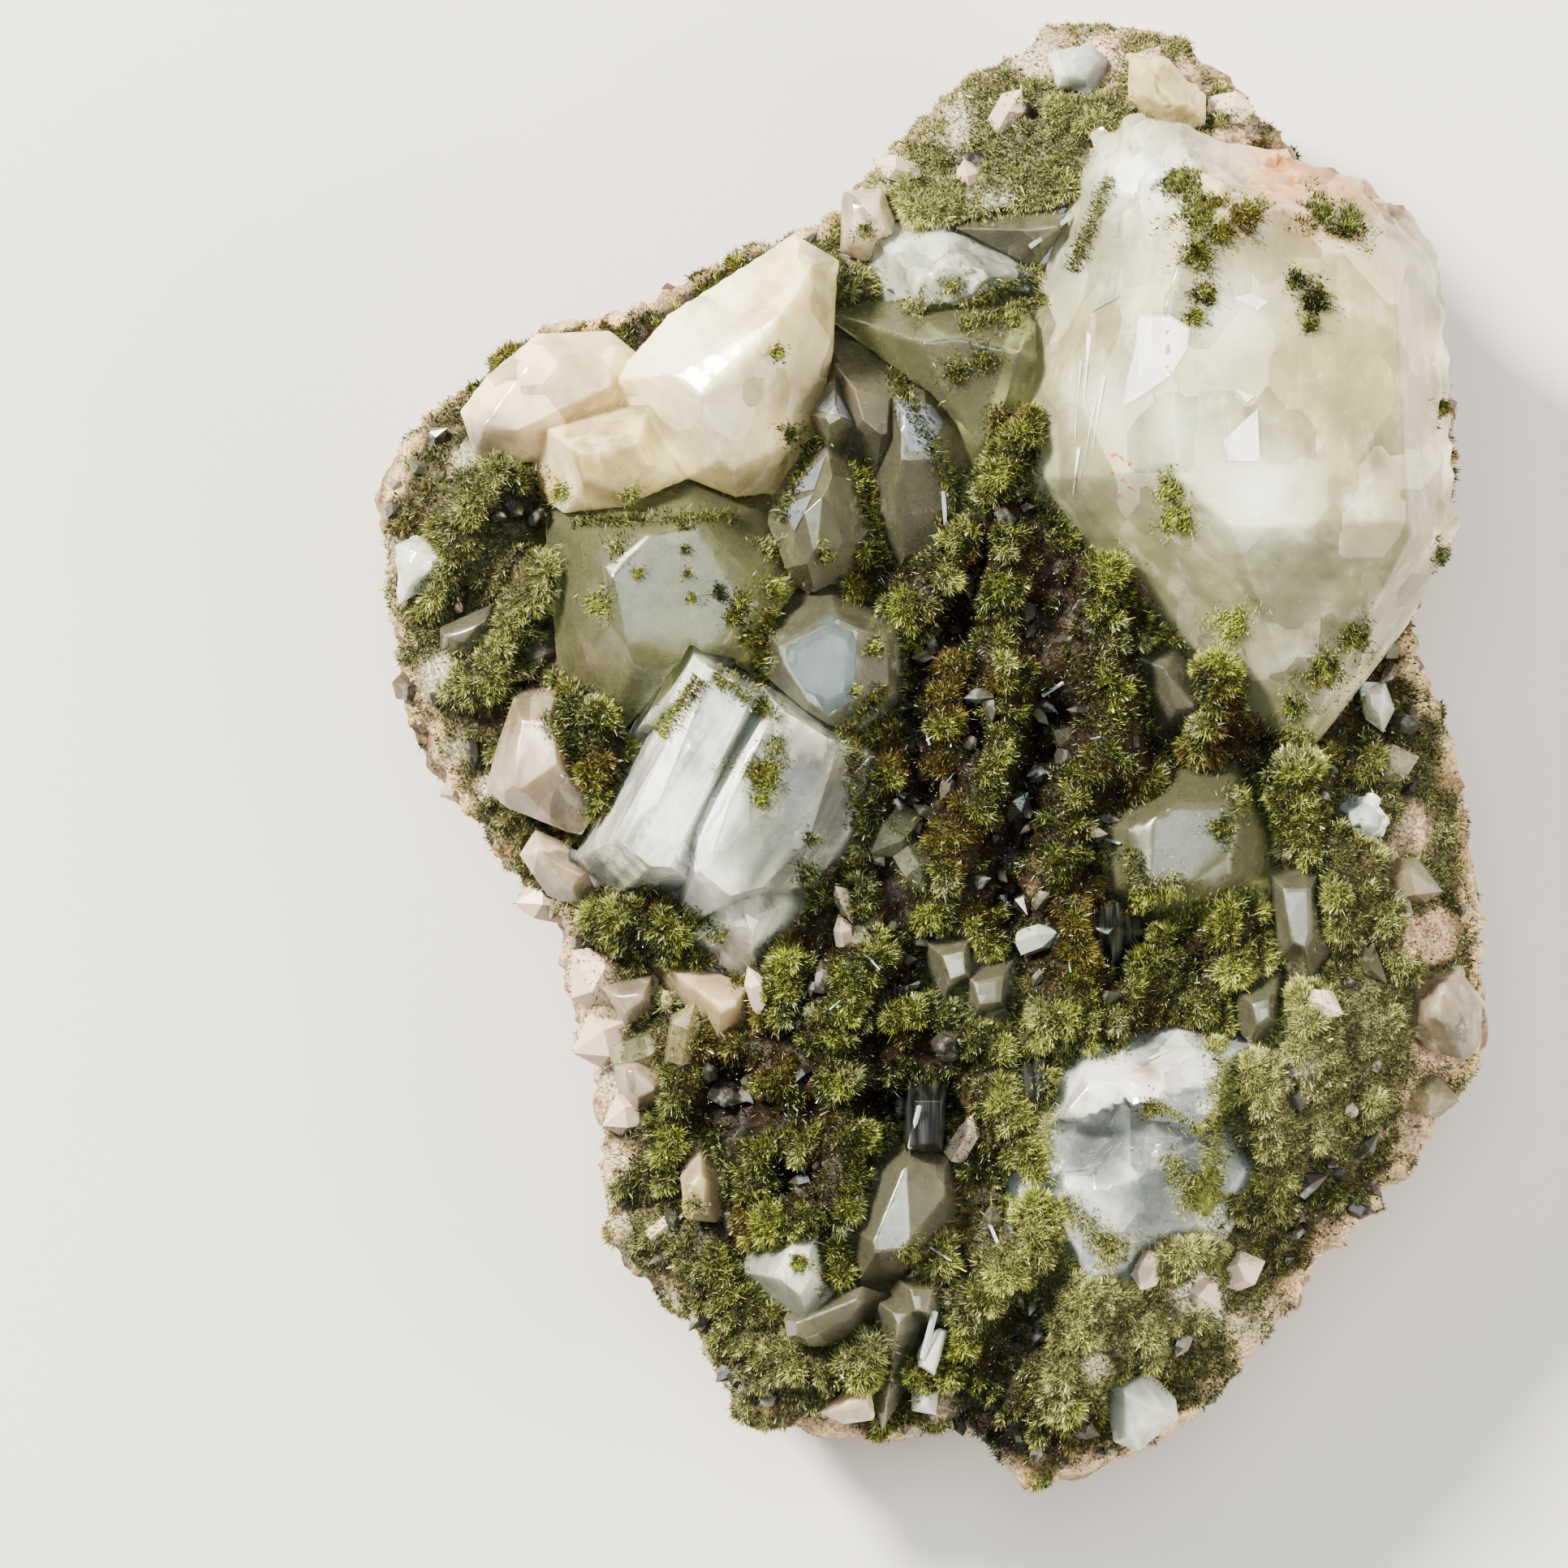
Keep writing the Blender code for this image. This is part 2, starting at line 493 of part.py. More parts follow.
def upper_points():
    """The long point, the pair of small points and the brown crystal between them."""
    long_point = ((-4.5, 12.3), (-3.5, 11.2), (-3.2, 8.8), (-3.8, 7.5), (-5.1, 6.7), (-6.3, 7.5),
                  (-6.6, 9.5), (-6.0, 10.8))
    upper = ((-1.9, 14.6), (-0.5, 14.4), (0.5, 13.3), (1.0, 10.8), (0.5, 8.8), (-1.1, 8.4),
             (-2.1, 10.2), (-1.8, 12.2))
    small = ((-4.2, 15.0), (-5.2, 13.8), (-4.5, 12.6), (-3.3, 13.3))
    brown = ((-4.1, 15.8), (-1.5, 14.9), (-1.4, 12.4), (-2.4, 12.0), (-3.6, 13.0))
    return [
        gem(long_point, 3.3, (62, 70), (150, 14), hold=0.3, extra=((-4.6, 9.0, 0.3, 0, 44),)),
        gem(upper, 3.0, (66, 74), (60, 10), hold=0.4, extra=((-0.5, 11.6, 0.2, -80, 34),)),
        gem(small, 2.6, (66, 72), (110, 14), hold=0.5),
        gem(brown, 2.2, (60, 66), (60, 16), hold=0.4),
    ]


def centre_point():
    """The centre point, with its kite-shaped face looking up."""
    outline = ((-6.7, 4.5), (-4.1, 5.6), (-2.1, 4.7), (-2.0, 2.8), (-3.6, 1.5), (-4.4, 1.0), (-5.4, 1.6),
               (-6.5, 3.3))
    return gem(outline, 3.6, (74, 70, 78), (70, 7), hold=0.75, extra=((-3.4, 3.4, 0.0, 0, 36),))


def hazy_dome():
    """The hazy dome, its top rounded off by sloping faces."""
    outline = ((-15.0, 8.8), (-13.1, 10.2), (-10.1, 10.7), (-7.8, 9.8), (-6.3, 7.8), (-5.8, 5.8),
               (-6.8, 4.5), (-7.5, 2.8), (-9.8, 2.2), (-11.1, 1.5), (-13.1, 1.8), (-14.6, 4.2))
    shoulders = (
        (-8.4, 7.8, 0.2, 30, 30), (-12.9, 8.2, 0.3, 130, 28), (-13.3, 5.0, 0.3, 190, 34),
        (-10.4, 3.2, 0.3, -90, 22), (-7.7, 5.2, 0.3, -30, 36),
    )
    return gem(outline, 3.3, (58, 66, 62), (20, 4), hold=0.1, extra=shoulders)


def left_point():
    """The pinkish point at the left edge, with a ridge between its two large faces."""
    outline = ((-17.4, 2.2), (-15.8, 2.1), (-14.7, 0.1), (-13.9, -3.2), (-13.6, -4.0), (-16.7, -2.6),
               (-17.8, -2.3), (-18.5, -1.5), (-18.2, -0.1))
    return gem(outline, 3.2, (66, 74), (140, 16), hold=0.3, sink=2.0, extra=((-16.4, -1.1, 0.0, -60, 40),))


def glassy_crystal():
    """The glassy grey-green crystal right of the middle."""
    outline = ((7.1, -3.0), (9.9, -1.3), (12.1, -1.3), (13.1, -3.2), (12.8, -5.2), (11.1, -6.4),
               (8.9, -6.4), (7.3, -5.6))
    faces = ((8.6, -3.6, 0.1, 160, 26), (11.6, -4.6, 0.1, -40, 28))
    return gem(outline, 2.4, (60, 68), (80, 8), hold=0.3, extra=faces)


def crystal_groups(stones):
    """Every crystal node: its name, its surface and the crystals that it is made of."""
    milky, white, cream, grey, pinkish, dark = stones
    return (
        ("quartz_big_block", milky, [big_block()]),
        ("quartz_tabular_block", white, tabular_block()),
        ("quartz_centre_point", grey, [centre_point()]),
        ("quartz_hazy_dome", milky, [hazy_dome()]),
        ("quartz_cream_cluster", cream, cream_cluster()),
        ("quartz_upper_points", grey, upper_points()),
        ("quartz_back_block", grey, [
            gem(((-2.4, 17.2), (1.5, 17.7), (3.9, 17.1), (4.3, 15.8), (3.7, 14.4), (2.9, 12.6), (1.6, 11.4),
                 (0.6, 13.8), (-0.2, 15.0)), 2.2, (60, 66), (-95, 14), hold=0.3)]),
        ("quartz_left_point", pinkish, [left_point()]),
        ("quartz_left_wedge", pinkish, [
            gem(((-17.2, -4.3), (-16.5, -3.2), (-13.6, -4.5), (-13.2, -5.1), (-14.6, -6.5), (-16.0, -6.0)),
                2.0, (60, 66), (-140, 16), hold=0.2, sink=1.8)]),
        ("quartz_far_left_white", white, [
            gem(((-22.4, 8.5), (-21.6, 8.9), (-19.9, 8.5), (-20.6, 6.8), (-22.2, 5.9)), 1.6, (62, 70),
                (170, 16), hold=0.3, sink=1.6)]),
        ("quartz_far_left_grey", grey, [
            gem(((-20.5, 5.1), (-18.3, 6.1), (-18.2, 4.9), (-19.3, 3.9), (-20.5, 4.1)), 1.4, (60, 70),
                (200, 14), hold=0.3, sink=1.6)]),
        ("quartz_lower_left_beige", cream, [
            gem(((-13.9, -9.7), (-11.7, -9.2), (-11.6, -10.7), (-12.8, -11.4)), 1.8, (62, 70), (160, 14),
                hold=0.4, sink=1.8)]),
        ("quartz_lower_left_orange", cream, [
            gem(((-10.1, -9.6), (-7.8, -9.8), (-7.9, -10.8), (-8.9, -11.4)), 1.7, (64, 70), (60, 10),
                hold=0.4)]),
        ("quartz_lower_left_pinkish", pinkish, [
            gem(((-13.3, -13.0), (-12.3, -12.6), (-11.1, -13.4), (-11.3, -14.5), (-12.3, -14.9),
                 (-13.2, -13.9)), 1.8, (62, 70), (150, 14), hold=0.4, sink=1.8)]),
        ("quartz_lower_left_yellow", cream, [
            gem(((-10.6, -17.5), (-9.7, -16.6), (-8.9, -17.9), (-9.0, -19.5), (-10.4, -19.3)), 1.9, (64, 72),
                (-20, 16), hold=0.4)]),
        ("quartz_lower_bright_point", grey, [
            gem(((-6.7, -20.6), (-5.9, -19.9), (-5.0, -19.9), (-4.7, -21.8), (-5.4, -23.0), (-7.0, -21.5)),
                2.5, (66, 74), (150, 14), hold=0.5, extra=((-5.3, -21.4, 0.0, -10, 40),))]),
        ("quartz_lower_slab", grey, [
            gem(((-3.1, -19.7), (-1.8, -17.0), (-1.0, -16.5), (0.3, -16.9), (0.4, -18.2), (-0.7, -20.3),
                 (-1.4, -20.9), (-2.8, -21.0)), 2.2, (66, 72), (110, 10), hold=0.5,
                extra=((-1.0, -18.4, 0.1, 20, 30),))]),
        ("quartz_dark_slab", grey, [
            gem(((-6.3, -23.3), (-3.0, -21.9), (-2.5, -22.5), (-3.7, -23.9), (-5.2, -24.5), (-6.2, -24.1)),
                1.9, (62, 70), (-80, 14), hold=0.5)]),
        ("quartz_lower_facets", grey, [
            gem(((-2.1, -22.8), (-0.9, -22.9), (-1.7, -24.2)), 1.9, (66, 72), (100, 10), hold=0.7),
            gem(((-1.4, -21.8), (0.1, -21.9), (-0.1, -23.2), (-1.2, -23.1)), 1.7, (66, 72), (60, 14),
                hold=0.6)]),
        ("quartz_lower_rod", grey, [
            gem(((0.0, -23.6), (0.5, -23.8), (-0.1, -25.7), (-0.7, -25.3)), 1.6, (70, 76), (-100, 10),
                hold=0.7)]),
        ("quartz_white_block", white, white_block()),
        ("quartz_bottom_point", white, [
            gem(((6.8, -26.1), (8.6, -25.3), (9.9, -26.7), (10.0, -27.6), (8.3, -28.9), (7.3, -28.5)), 2.0,
                (62, 70), (-120, 18), hold=0.3, sink=1.8, extra=((8.4, -26.8, 0.0, 60, 26),))]),
        ("quartz_bottom_beige", cream, [
            gem(((-3.6, -26.2), (-2.5, -26.0), (-2.4, -27.6), (-3.8, -27.8), (-4.8, -27.3)), 1.6, (62, 70),
                (-100, 16), hold=0.3, sink=1.6)]),
        ("quartz_bottom_white", white, [
            gem(((-1.0, -26.2), (0.1, -26.4), (0.0, -27.4), (-1.0, -27.2)), 1.6, (66, 72), (-90, 16),
                hold=0.4, sink=1.6)]),
        ("quartz_right_edge_pinkish", pinkish, [
            gem(((19.4, -9.9), (19.9, -9.1), (21.6, -8.8), (22.5, -10.4), (22.4, -12.3), (21.8, -12.9),
                 (20.7, -12.5), (19.6, -11.8)), 2.6, (62, 70), (0, 20), hold=0.2, sink=2.0,
                extra=((20.6, -10.6, 0.0, 170, 24),))]),
        ("quartz_glassy_crystal", grey, [glassy_crystal()]),
        ("quartz_grey_block", grey, [
            gem(((13.8, -5.2), (15.5, -5.2), (15.8, -7.9), (15.2, -8.8), (14.1, -8.2)), 1.9, (66, 72),
                (100, 12), hold=0.4)]),
        ("quartz_grey_wedge", grey, [
            gem(((12.5, -10.0), (13.8, -9.6), (14.0, -11.2), (12.8, -11.9)), 1.6, (64, 70), (120, 14),
                hold=0.4)]),
        ("quartz_dark_point", dark, [
            gem(((6.0, -6.7), (7.4, -6.6), (7.8, -7.3), (7.1, -8.2), (6.1, -7.7)), 1.9, (60, 66), (110, 16),
                hold=0.5)]),
        ("quartz_middle_facets", grey, [
            gem(((0.0, -8.2), (1.2, -7.9), (1.4, -9.3), (0.4, -9.7)), 1.5, (66, 72), (110, 12), hold=0.6),
            gem(((1.2, -9.2), (2.9, -8.9), (2.8, -10.5), (1.6, -10.7)), 1.6, (66, 72), (60, 10), hold=0.6)]),
        ("quartz_slope_grey", grey, [
            gem(((8.4, 3.7), (9.6, 3.9), (11.0, 2.0), (10.9, 1.2), (9.5, 1.2)), 1.4, (60, 66), (-120, 16),
                hold=0.3)]),
        ("quartz_white_grain", white, [
            gem(((16.9, -2.5), (17.9, -1.9), (18.6, -2.7), (18.4, -3.6), (17.4, -3.5)), 1.5, (56, 66),
                (90, 10), hold=0.5)]),
        ("quartz_side_clear", white, [
            gem(((17.3, 2.9), (18.5, 2.8), (18.9, 1.7), (18.4, 0.7), (17.6, 1.3)), 1.8, (64, 72), (-40, 14),
                hold=0.4)]),
        ("quartz_upper_blue", white, [
            gem(((-1.5, 20.1), (0.8, 20.6), (3.0, 19.5), (2.1, 18.3), (0.8, 17.8), (-1.2, 17.5)), 1.7,
                (58, 66), (-100, 12), hold=0.3)]),
        ("quartz_upper_sparkling", pinkish, [
            gem(((-3.9, 23.1), (-2.2, 23.3), (-1.3, 21.0), (-2.7, 20.1), (-4.0, 20.5)), 1.8, (62, 70),
                (150, 16), hold=0.3, sink=1.8)]),
        ("quartz_upper_grey", grey, [
            gem(((2.1, 21.4), (4.3, 21.9), (5.3, 22.0), (5.3, 21.0), (4.3, 20.3)), 1.4, (60, 68), (-80, 14),
                hold=0.4)]),
        ("quartz_top_white", white, [
            gem(((4.6, 28.7), (6.3, 29.2), (7.2, 28.4), (6.5, 27.0), (5.0, 27.3)), 1.2, (54, 62), (90, 10),
                hold=0.3, sink=1.4)]),
        ("quartz_top_beige", cream, [
            gem(((7.8, 28.7), (9.6, 28.4), (11.2, 27.0), (11.2, 25.6), (9.2, 25.4), (7.8, 26.8)), 1.5,
                (50, 58), (60, 12), hold=0.2, sink=1.6)]),
        ("epidote_black_prism", dark, [
            gem(((-1.0, -14.1), (0.3, -14.1), (0.1, -16.2), (-1.2, -16.3)), 2.4, (76, 84), (-85, 8),
                hold=0.7)]),
        ("epidote_black_crystal", dark, [
            gem(((3.5, -13.1), (4.4, -12.9), (4.7, -13.9), (4.0, -14.6), (3.6, -14.2)), 1.9, (70, 76),
                (-60, 14), hold=0.6)]),
    )


def clear_scene():
    """Start from nothing."""
    for old in list(bpy.data.objects):
        bpy.data.objects.remove(old)


def collection_named(name):
    """A new collection in the scene."""
    made = bpy.data.collections.new(name)
    bpy.context.scene.collection.children.link(made)
    return made


def main():
    """Build the plate, then the crystals, then the sockets that the crystals stand in."""
    clear_scene()
    parts = collection_named("epidote_with_quartz")
    cutters = collection_named("sockets")
    stones = (
        material("quartz_milky", (0.55, 0.58, 0.46), 0.25),
        material("quartz_white", (0.72, 0.76, 0.74), 0.25),
        material("quartz_cream", (0.80, 0.72, 0.55), 0.3),
        material("quartz_grey", (0.34, 0.38, 0.34), 0.2),
        material("quartz_pinkish", (0.60, 0.48, 0.38), 0.3),
        material("epidote_dark", (0.03, 0.03, 0.03), 0.2),
    )
    plate = plate_slab(parts)
    shape_plate(plate)
    lighten(plate, ROCK_SHARE)
    cut_flat(plate)
    standing = []
    for name, surface, gems in crystal_groups(stones):
        grow(name, surface, gems, standing, parts, cutters)
    for planes, cutter in standing:
        combine(plate, cutter, "DIFFERENCE")
    apply_modifiers(plate)
    keep_largest(plate)
    plate.data.materials.clear()
    plate.data.materials.append(material("epidote_crust", (0.10, 0.12, 0.035), 0.7))


main()
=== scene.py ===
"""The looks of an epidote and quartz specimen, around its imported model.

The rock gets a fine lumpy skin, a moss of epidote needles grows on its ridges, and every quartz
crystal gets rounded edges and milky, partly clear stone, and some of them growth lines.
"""

import json
import math
from collections import namedtuple

import bpy
import numpy as np
from bpy.props import FloatProperty, FloatVectorProperty, IntProperty, PointerProperty
from bpy.types import Operator, Panel, PropertyGroup
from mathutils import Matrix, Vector, noise
from mathutils.bvhtree import BVHTree


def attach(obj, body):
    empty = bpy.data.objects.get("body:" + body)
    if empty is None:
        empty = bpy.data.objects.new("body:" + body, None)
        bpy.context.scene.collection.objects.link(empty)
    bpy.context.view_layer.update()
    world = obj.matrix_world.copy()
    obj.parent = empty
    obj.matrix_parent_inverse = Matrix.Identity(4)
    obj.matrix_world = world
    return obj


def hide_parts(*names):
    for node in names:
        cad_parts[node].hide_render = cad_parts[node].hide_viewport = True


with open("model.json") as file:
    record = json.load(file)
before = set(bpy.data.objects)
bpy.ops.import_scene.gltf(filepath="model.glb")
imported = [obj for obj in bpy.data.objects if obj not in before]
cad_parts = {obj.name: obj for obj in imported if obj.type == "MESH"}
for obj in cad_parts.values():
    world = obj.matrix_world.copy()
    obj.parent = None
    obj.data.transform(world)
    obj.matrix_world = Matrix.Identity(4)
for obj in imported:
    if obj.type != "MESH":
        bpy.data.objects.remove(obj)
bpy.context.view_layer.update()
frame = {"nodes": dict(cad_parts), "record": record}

bl_info = {
    "name": "Epidote with quartz",
    "version": (1, 0, 0),
    "blender": (4, 5, 0),
    "location": "3D View > Sidebar > Specimen",
    "description": "Dresses a mineral specimen: mossy epidote, milky quartz and a studio",
    "category": "Object",
}

MM = 0.001
ROCK = "epidote_rock"
MATRIX_NODE = "epidote_matrix"

# A stone: clear tint, milky colour, share of milk, roughness, absorption per metre, unevenness of
# its faces in mm, how far a painted sky reflection pales its faces towards the sky, and its share
# of green inclusions
Stone = namedtuple("Stone", "clear milk share rough absorption uneven sky inclusions")
STONES = {
    "milky": Stone((0.90, 0.92, 0.72), (0.50, 0.49, 0.28), 0.62, 0.12, 20.0, 0.022, 0.0, 0.22),
    "white": Stone((0.94, 0.97, 0.93), (0.62, 0.66, 0.58), 0.66, 0.14, 10.0, 0.030, 0.0, 0.10),
    "cream": Stone((1.00, 0.95, 0.76), (1.00, 0.83, 0.44), 0.70, 0.18, 15.0, 0.045, 0.0, 0.14),
    "orange": Stone((0.97, 0.88, 0.68), (0.70, 0.55, 0.35), 0.60, 0.18, 30.0, 0.030, 0.2, 0.30),
    "hazy": Stone((0.80, 0.83, 0.56), (0.115, 0.118, 0.056), 0.38, 0.22, 200.0, 0.030, 0.0, 0.95),
    "grey": Stone((0.80, 0.80, 0.62), (0.150, 0.145, 0.090), 0.42, 0.08, 60.0, 0.012, 0.5, 0.40),
    "pinkish": Stone((0.94, 0.88, 0.76), (0.55, 0.43, 0.29), 0.52, 0.16, 35.0, 0.030, 0.3, 0.35),
    "snow": Stone((0.93, 0.97, 0.97), (0.72, 0.78, 0.76), 0.66, 0.20, 5.0, 0.015, 0.0, 0.30),
    "dark": Stone((0.10, 0.10, 0.10), (0.01, 0.01, 0.01), 1.0, 0.12, 90.0, 0.010, 0.0, 0.0),
}
# Painted sky reflection: the direction that faces towards the sky, and the pale blue painted on such faces
SKY_REFLECTION_SIDE = (-0.42, 0.34, 0.84)
PAINTED_SKY_REFLECTION = (0.46, 0.56, 0.62)

# Soft zones of colour in the crystals, partly their own colour and partly painted light and shade: x, y, radius in
# mm, colour, strength
ZONES = {
    # The bright cream zones on the big block's right rim are painted light
    "quartz_big_block": (
        (16.4, 14.5, 4.4, (0.56, 0.50, 0.27), 0.8), (12.9, 10.2, 2.2, (0.90, 0.95, 0.86), 0.95),
        (11.8, 17.8, 1.8, (0.90, 0.92, 0.78), 0.8), (9.4, 13.0, 2.4, (0.72, 0.77, 0.62), 0.85),
        (8.4, 23.4, 1.9, (0.82, 0.88, 0.88), 0.9), (6.3, 14.4, 1.2, (0.72, 0.76, 0.70), 0.7),
        (5.4, 20.0, 1.8, (0.27, 0.31, 0.22), 0.7), (5.2, 10.6, 1.6, (0.42, 0.45, 0.32), 0.7),
        (7.6, 19.4, 1.4, (0.56, 0.61, 0.52), 0.7), (10.4, 5.6, 2.4, (0.42, 0.44, 0.28), 0.7),
        (14.0, 5.4, 2.2, (0.42, 0.43, 0.29), 0.8), (17.8, 6.6, 2.4, (0.36, 0.34, 0.22), 0.8),
        (14.6, 2.0, 1.4, (0.44, 0.44, 0.28), 0.7), (16.4, 2.6, 0.8, (0.74, 0.68, 0.54), 0.9),
        (13.4, 3.4, 0.6, (0.64, 0.64, 0.52), 0.7), (14.6, 23.4, 2.6, (0.80, 0.36, 0.13), 0.95),
        (18.6, 22.6, 2.0, (0.60, 0.30, 0.11), 0.95), (11.6, 24.6, 1.2, (0.66, 0.60, 0.50), 0.7),
        (20.9, 12.0, 0.9, (1.00, 0.88, 0.68), 0.95), (21.3, 8.4, 0.8, (1.00, 0.88, 0.68), 0.95),
        (20.6, 16.4, 0.8, (0.98, 0.84, 0.62), 0.95), (20.2, 5.4, 0.9, (0.90, 0.78, 0.56), 0.8),
        (17.5, 11.8, 0.45, (0.20, 0.20, 0.06), 0.8), (16.7, 10.0, 0.40, (0.85, 0.86, 0.82), 0.9),
        (17.2, 5.2, 0.7, (0.15, 0.13, 0.05), 0.9), (13.2, 20.8, 1.2, (0.44, 0.42, 0.28), 0.7),
    ),
    "quartz_tabular_block": (
        (-10.4, -2.6, 2.0, (0.94, 0.98, 0.97), 0.95), (-9.6, -5.2, 1.5, (0.99, 1.00, 0.99), 0.95),
        (-4.6, -1.2, 1.8, (0.22, 0.23, 0.09), 0.9), (-6.0, -3.8, 2.0, (0.32, 0.36, 0.23), 0.9),
        (-5.0, -6.6, 1.8, (0.24, 0.27, 0.17), 0.8), (-7.2, -9.8, 1.5, (0.22, 0.25, 0.19), 0.8),
        (-7.6, -7.2, 0.8, (0.95, 0.97, 0.96), 0.9), (-8.2, 1.6, 1.2, (0.80, 0.85, 0.84), 0.8),
    ),
    # The cream cluster's brightest zone is a painted highlight on its face towards the light
    "quartz_cream_cluster": (
        (-9.6, 15.8, 3.0, (1.00, 0.96, 0.72), 0.95), (-8.4, 11.2, 1.7, (0.80, 0.68, 0.36), 0.8),
        (-5.2, 14.6, 1.4, (0.62, 0.52, 0.26), 0.85), (-8.8, 13.2, 1.2, (0.86, 0.85, 0.72), 0.8),
        (-16.0, 14.6, 2.8, (0.94, 0.70, 0.48), 0.95), (-13.6, 11.4, 1.9, (0.82, 0.66, 0.28), 0.9),
        (-12.6, 10.4, 0.7, (0.45, 0.45, 0.08), 0.8), (-18.6, 12.8, 1.4, (0.34, 0.30, 0.22), 0.8),
    ),
    "quartz_hazy_dome": (
        (-6.8, 4.6, 1.5, (0.24, 0.27, 0.04), 0.85), (-10.2, 5.4, 2.4, (0.165, 0.19, 0.090), 0.8),
        (-14.0, 3.8, 1.6, (0.22, 0.17, 0.10), 0.8), (-11.6, 1.2, 1.8, (0.19, 0.20, 0.12), 0.7),
        (-10.6, 8.0, 1.3, (0.28, 0.30, 0.14), 0.7), (-8.6, 5.6, 1.1, (0.09, 0.11, 0.03), 0.6),
    ),
    # The white block's near-white zones are painted highlights and its blue-grey ones painted shade
    "quartz_white_block": (
        (6.8, -16.0, 1.5, (0.24, 0.29, 0.31), 0.9), (10.0, -16.4, 1.7, (0.36, 0.44, 0.45), 0.85),
        (6.6, -13.6, 1.3, (0.98, 0.98, 0.92), 0.9), (10.2, -13.4, 1.0, (0.90, 0.90, 0.84), 0.8),
        (8.6, -13.2, 0.6, (0.66, 0.48, 0.28), 0.9), (5.8, -14.6, 0.7, (0.90, 0.92, 0.86), 0.7),
        (6.2, -19.0, 1.1, (0.90, 0.98, 0.98), 0.9), (4.9, -16.6, 0.6, (0.92, 0.93, 0.86), 0.8),
        (8.8, -18.8, 1.2, (0.32, 0.39, 0.38), 0.85), (10.6, -14.9, 0.7, (0.42, 0.50, 0.50), 0.8),
    ),
    "quartz_glassy_crystal": (
        (9.6, -4.0, 2.8, (0.045, 0.048, 0.026), 0.95), (11.2, -3.0, 0.9, (0.12, 0.12, 0.04), 0.8),
    ),
    "quartz_back_block": (
        (2.0, 14.6, 3.6, (0.075, 0.072, 0.040), 0.9),
    ),
    # The centre point's pale blue zone is a painted sky reflection on its kite face
    "quartz_centre_point": (
        (-4.9, 3.5, 1.6, (0.14, 0.18, 0.18), 0.95), (-2.6, 3.2, 1.1, (0.060, 0.070, 0.026), 0.95),
        (-3.4, 1.4, 0.9, (0.16, 0.18, 0.12), 0.7),
    ),
    "quartz_upper_points": (
        (-3.2, 14.4, 1.2, (0.20, 0.145, 0.10), 0.7), (-0.6, 9.6, 1.4, (0.070, 0.055, 0.030), 0.6),
    ),
}

# Each crystal node: its stone, the width its edges are rounded by, the grid of its growth relief, and
# how many rounds wear its form soft
CRYSTALS = {
    "quartz_big_block": ("milky", 0.14, 0.40, 1),
    "quartz_tabular_block": ("white", 0.10, 0.28, 0),
    "quartz_centre_point": ("grey", 0.05, 0.40, 0),
    "quartz_hazy_dome": ("hazy", 0.16, 0.35, 9),
    "quartz_cream_cluster": ("cream", 0.14, 0.35, 6),
    "quartz_upper_points": ("grey", 0.06, 0.35, 1),
    "quartz_back_block": ("hazy", 0.12, 0.40, 7),
    "quartz_left_point": ("pinkish", 0.07, 0.40, 1),
    "quartz_left_wedge": ("pinkish", 0.08, 0.40, 2),
    "quartz_far_left_white": ("white", 0.10, 0.35, 4),
    "quartz_far_left_grey": ("grey", 0.08, 0.35, 3),
    "quartz_lower_left_beige": ("pinkish", 0.08, 0.35, 4),
    "quartz_lower_left_orange": ("orange", 0.08, 0.35, 4),
    "quartz_lower_left_pinkish": ("pinkish", 0.08, 0.35, 4),
    "quartz_lower_left_yellow": ("orange", 0.08, 0.35, 4),
    "quartz_lower_bright_point": ("white", 0.05, 0.35, 0),
    "quartz_lower_slab": ("grey", 0.06, 0.35, 0),
    "quartz_dark_slab": ("grey", 0.06, 0.35, 2),
    "quartz_lower_facets": ("grey", 0.05, 0.35, 0),
    "quartz_lower_rod": ("white", 0.04, 0.35, 0),
    "quartz_white_block": ("snow", 0.06, 0.21, 0),
    "quartz_bottom_point": ("white", 0.07, 0.35, 1),
    "quartz_bottom_beige": ("orange", 0.08, 0.35, 3),
    "quartz_bottom_white": ("white", 0.06, 0.35, 0),
    "quartz_right_edge_pinkish": ("pinkish", 0.10, 0.35, 7),
    "quartz_glassy_crystal": ("hazy", 0.10, 0.35, 8),
    "quartz_grey_block": ("grey", 0.07, 0.35, 0),
    "quartz_grey_wedge": ("grey", 0.07, 0.35, 0),
    "quartz_middle_facets": ("grey", 0.04, 0.35, 0),
    "quartz_slope_grey": ("grey", 0.08, 0.35, 3),
    "quartz_white_grain": ("snow", 0.16, 0.24, 3),
    "quartz_side_clear": ("white", 0.06, 0.35, 0),
    "quartz_upper_blue": ("white", 0.10, 0.35, 4),
    "quartz_upper_sparkling": ("pinkish", 0.10, 0.30, 3),
    "quartz_upper_grey": ("grey", 0.08, 0.35, 2),
    "quartz_top_white": ("snow", 0.12, 0.30, 3),
    "quartz_top_beige": ("cream", 0.16, 0.35, 6),
    "quartz_dark_point": ("dark", 0.05, 0.35, 0),
    "epidote_black_prism": ("dark", 0.04, 0.20, 0),
    "epidote_black_crystal": ("dark", 0.05, 0.30, 0),
}

# Growth lines: the direction across them, their depth and spacing in mm, and how far they pale
LINES = {
    "quartz_big_block": ((0.05, -1.0, 0.1), 0.035, 0.9, 0.0),
    "quartz_tabular_block": ((0.86, -0.51, 0.0), 0.08, 0.8, 0.34),
    "quartz_white_block": ((0.5, 0.86, 0.2), 0.02, 0.8, 0.2),
    "quartz_cream_cluster": ((0.68, 0.73, 0.0), 0.04, 0.8, 0.1),
    "epidote_black_prism": ((1.0, 0.0, 0.0), 0.05, 0.35, 0.2),
}

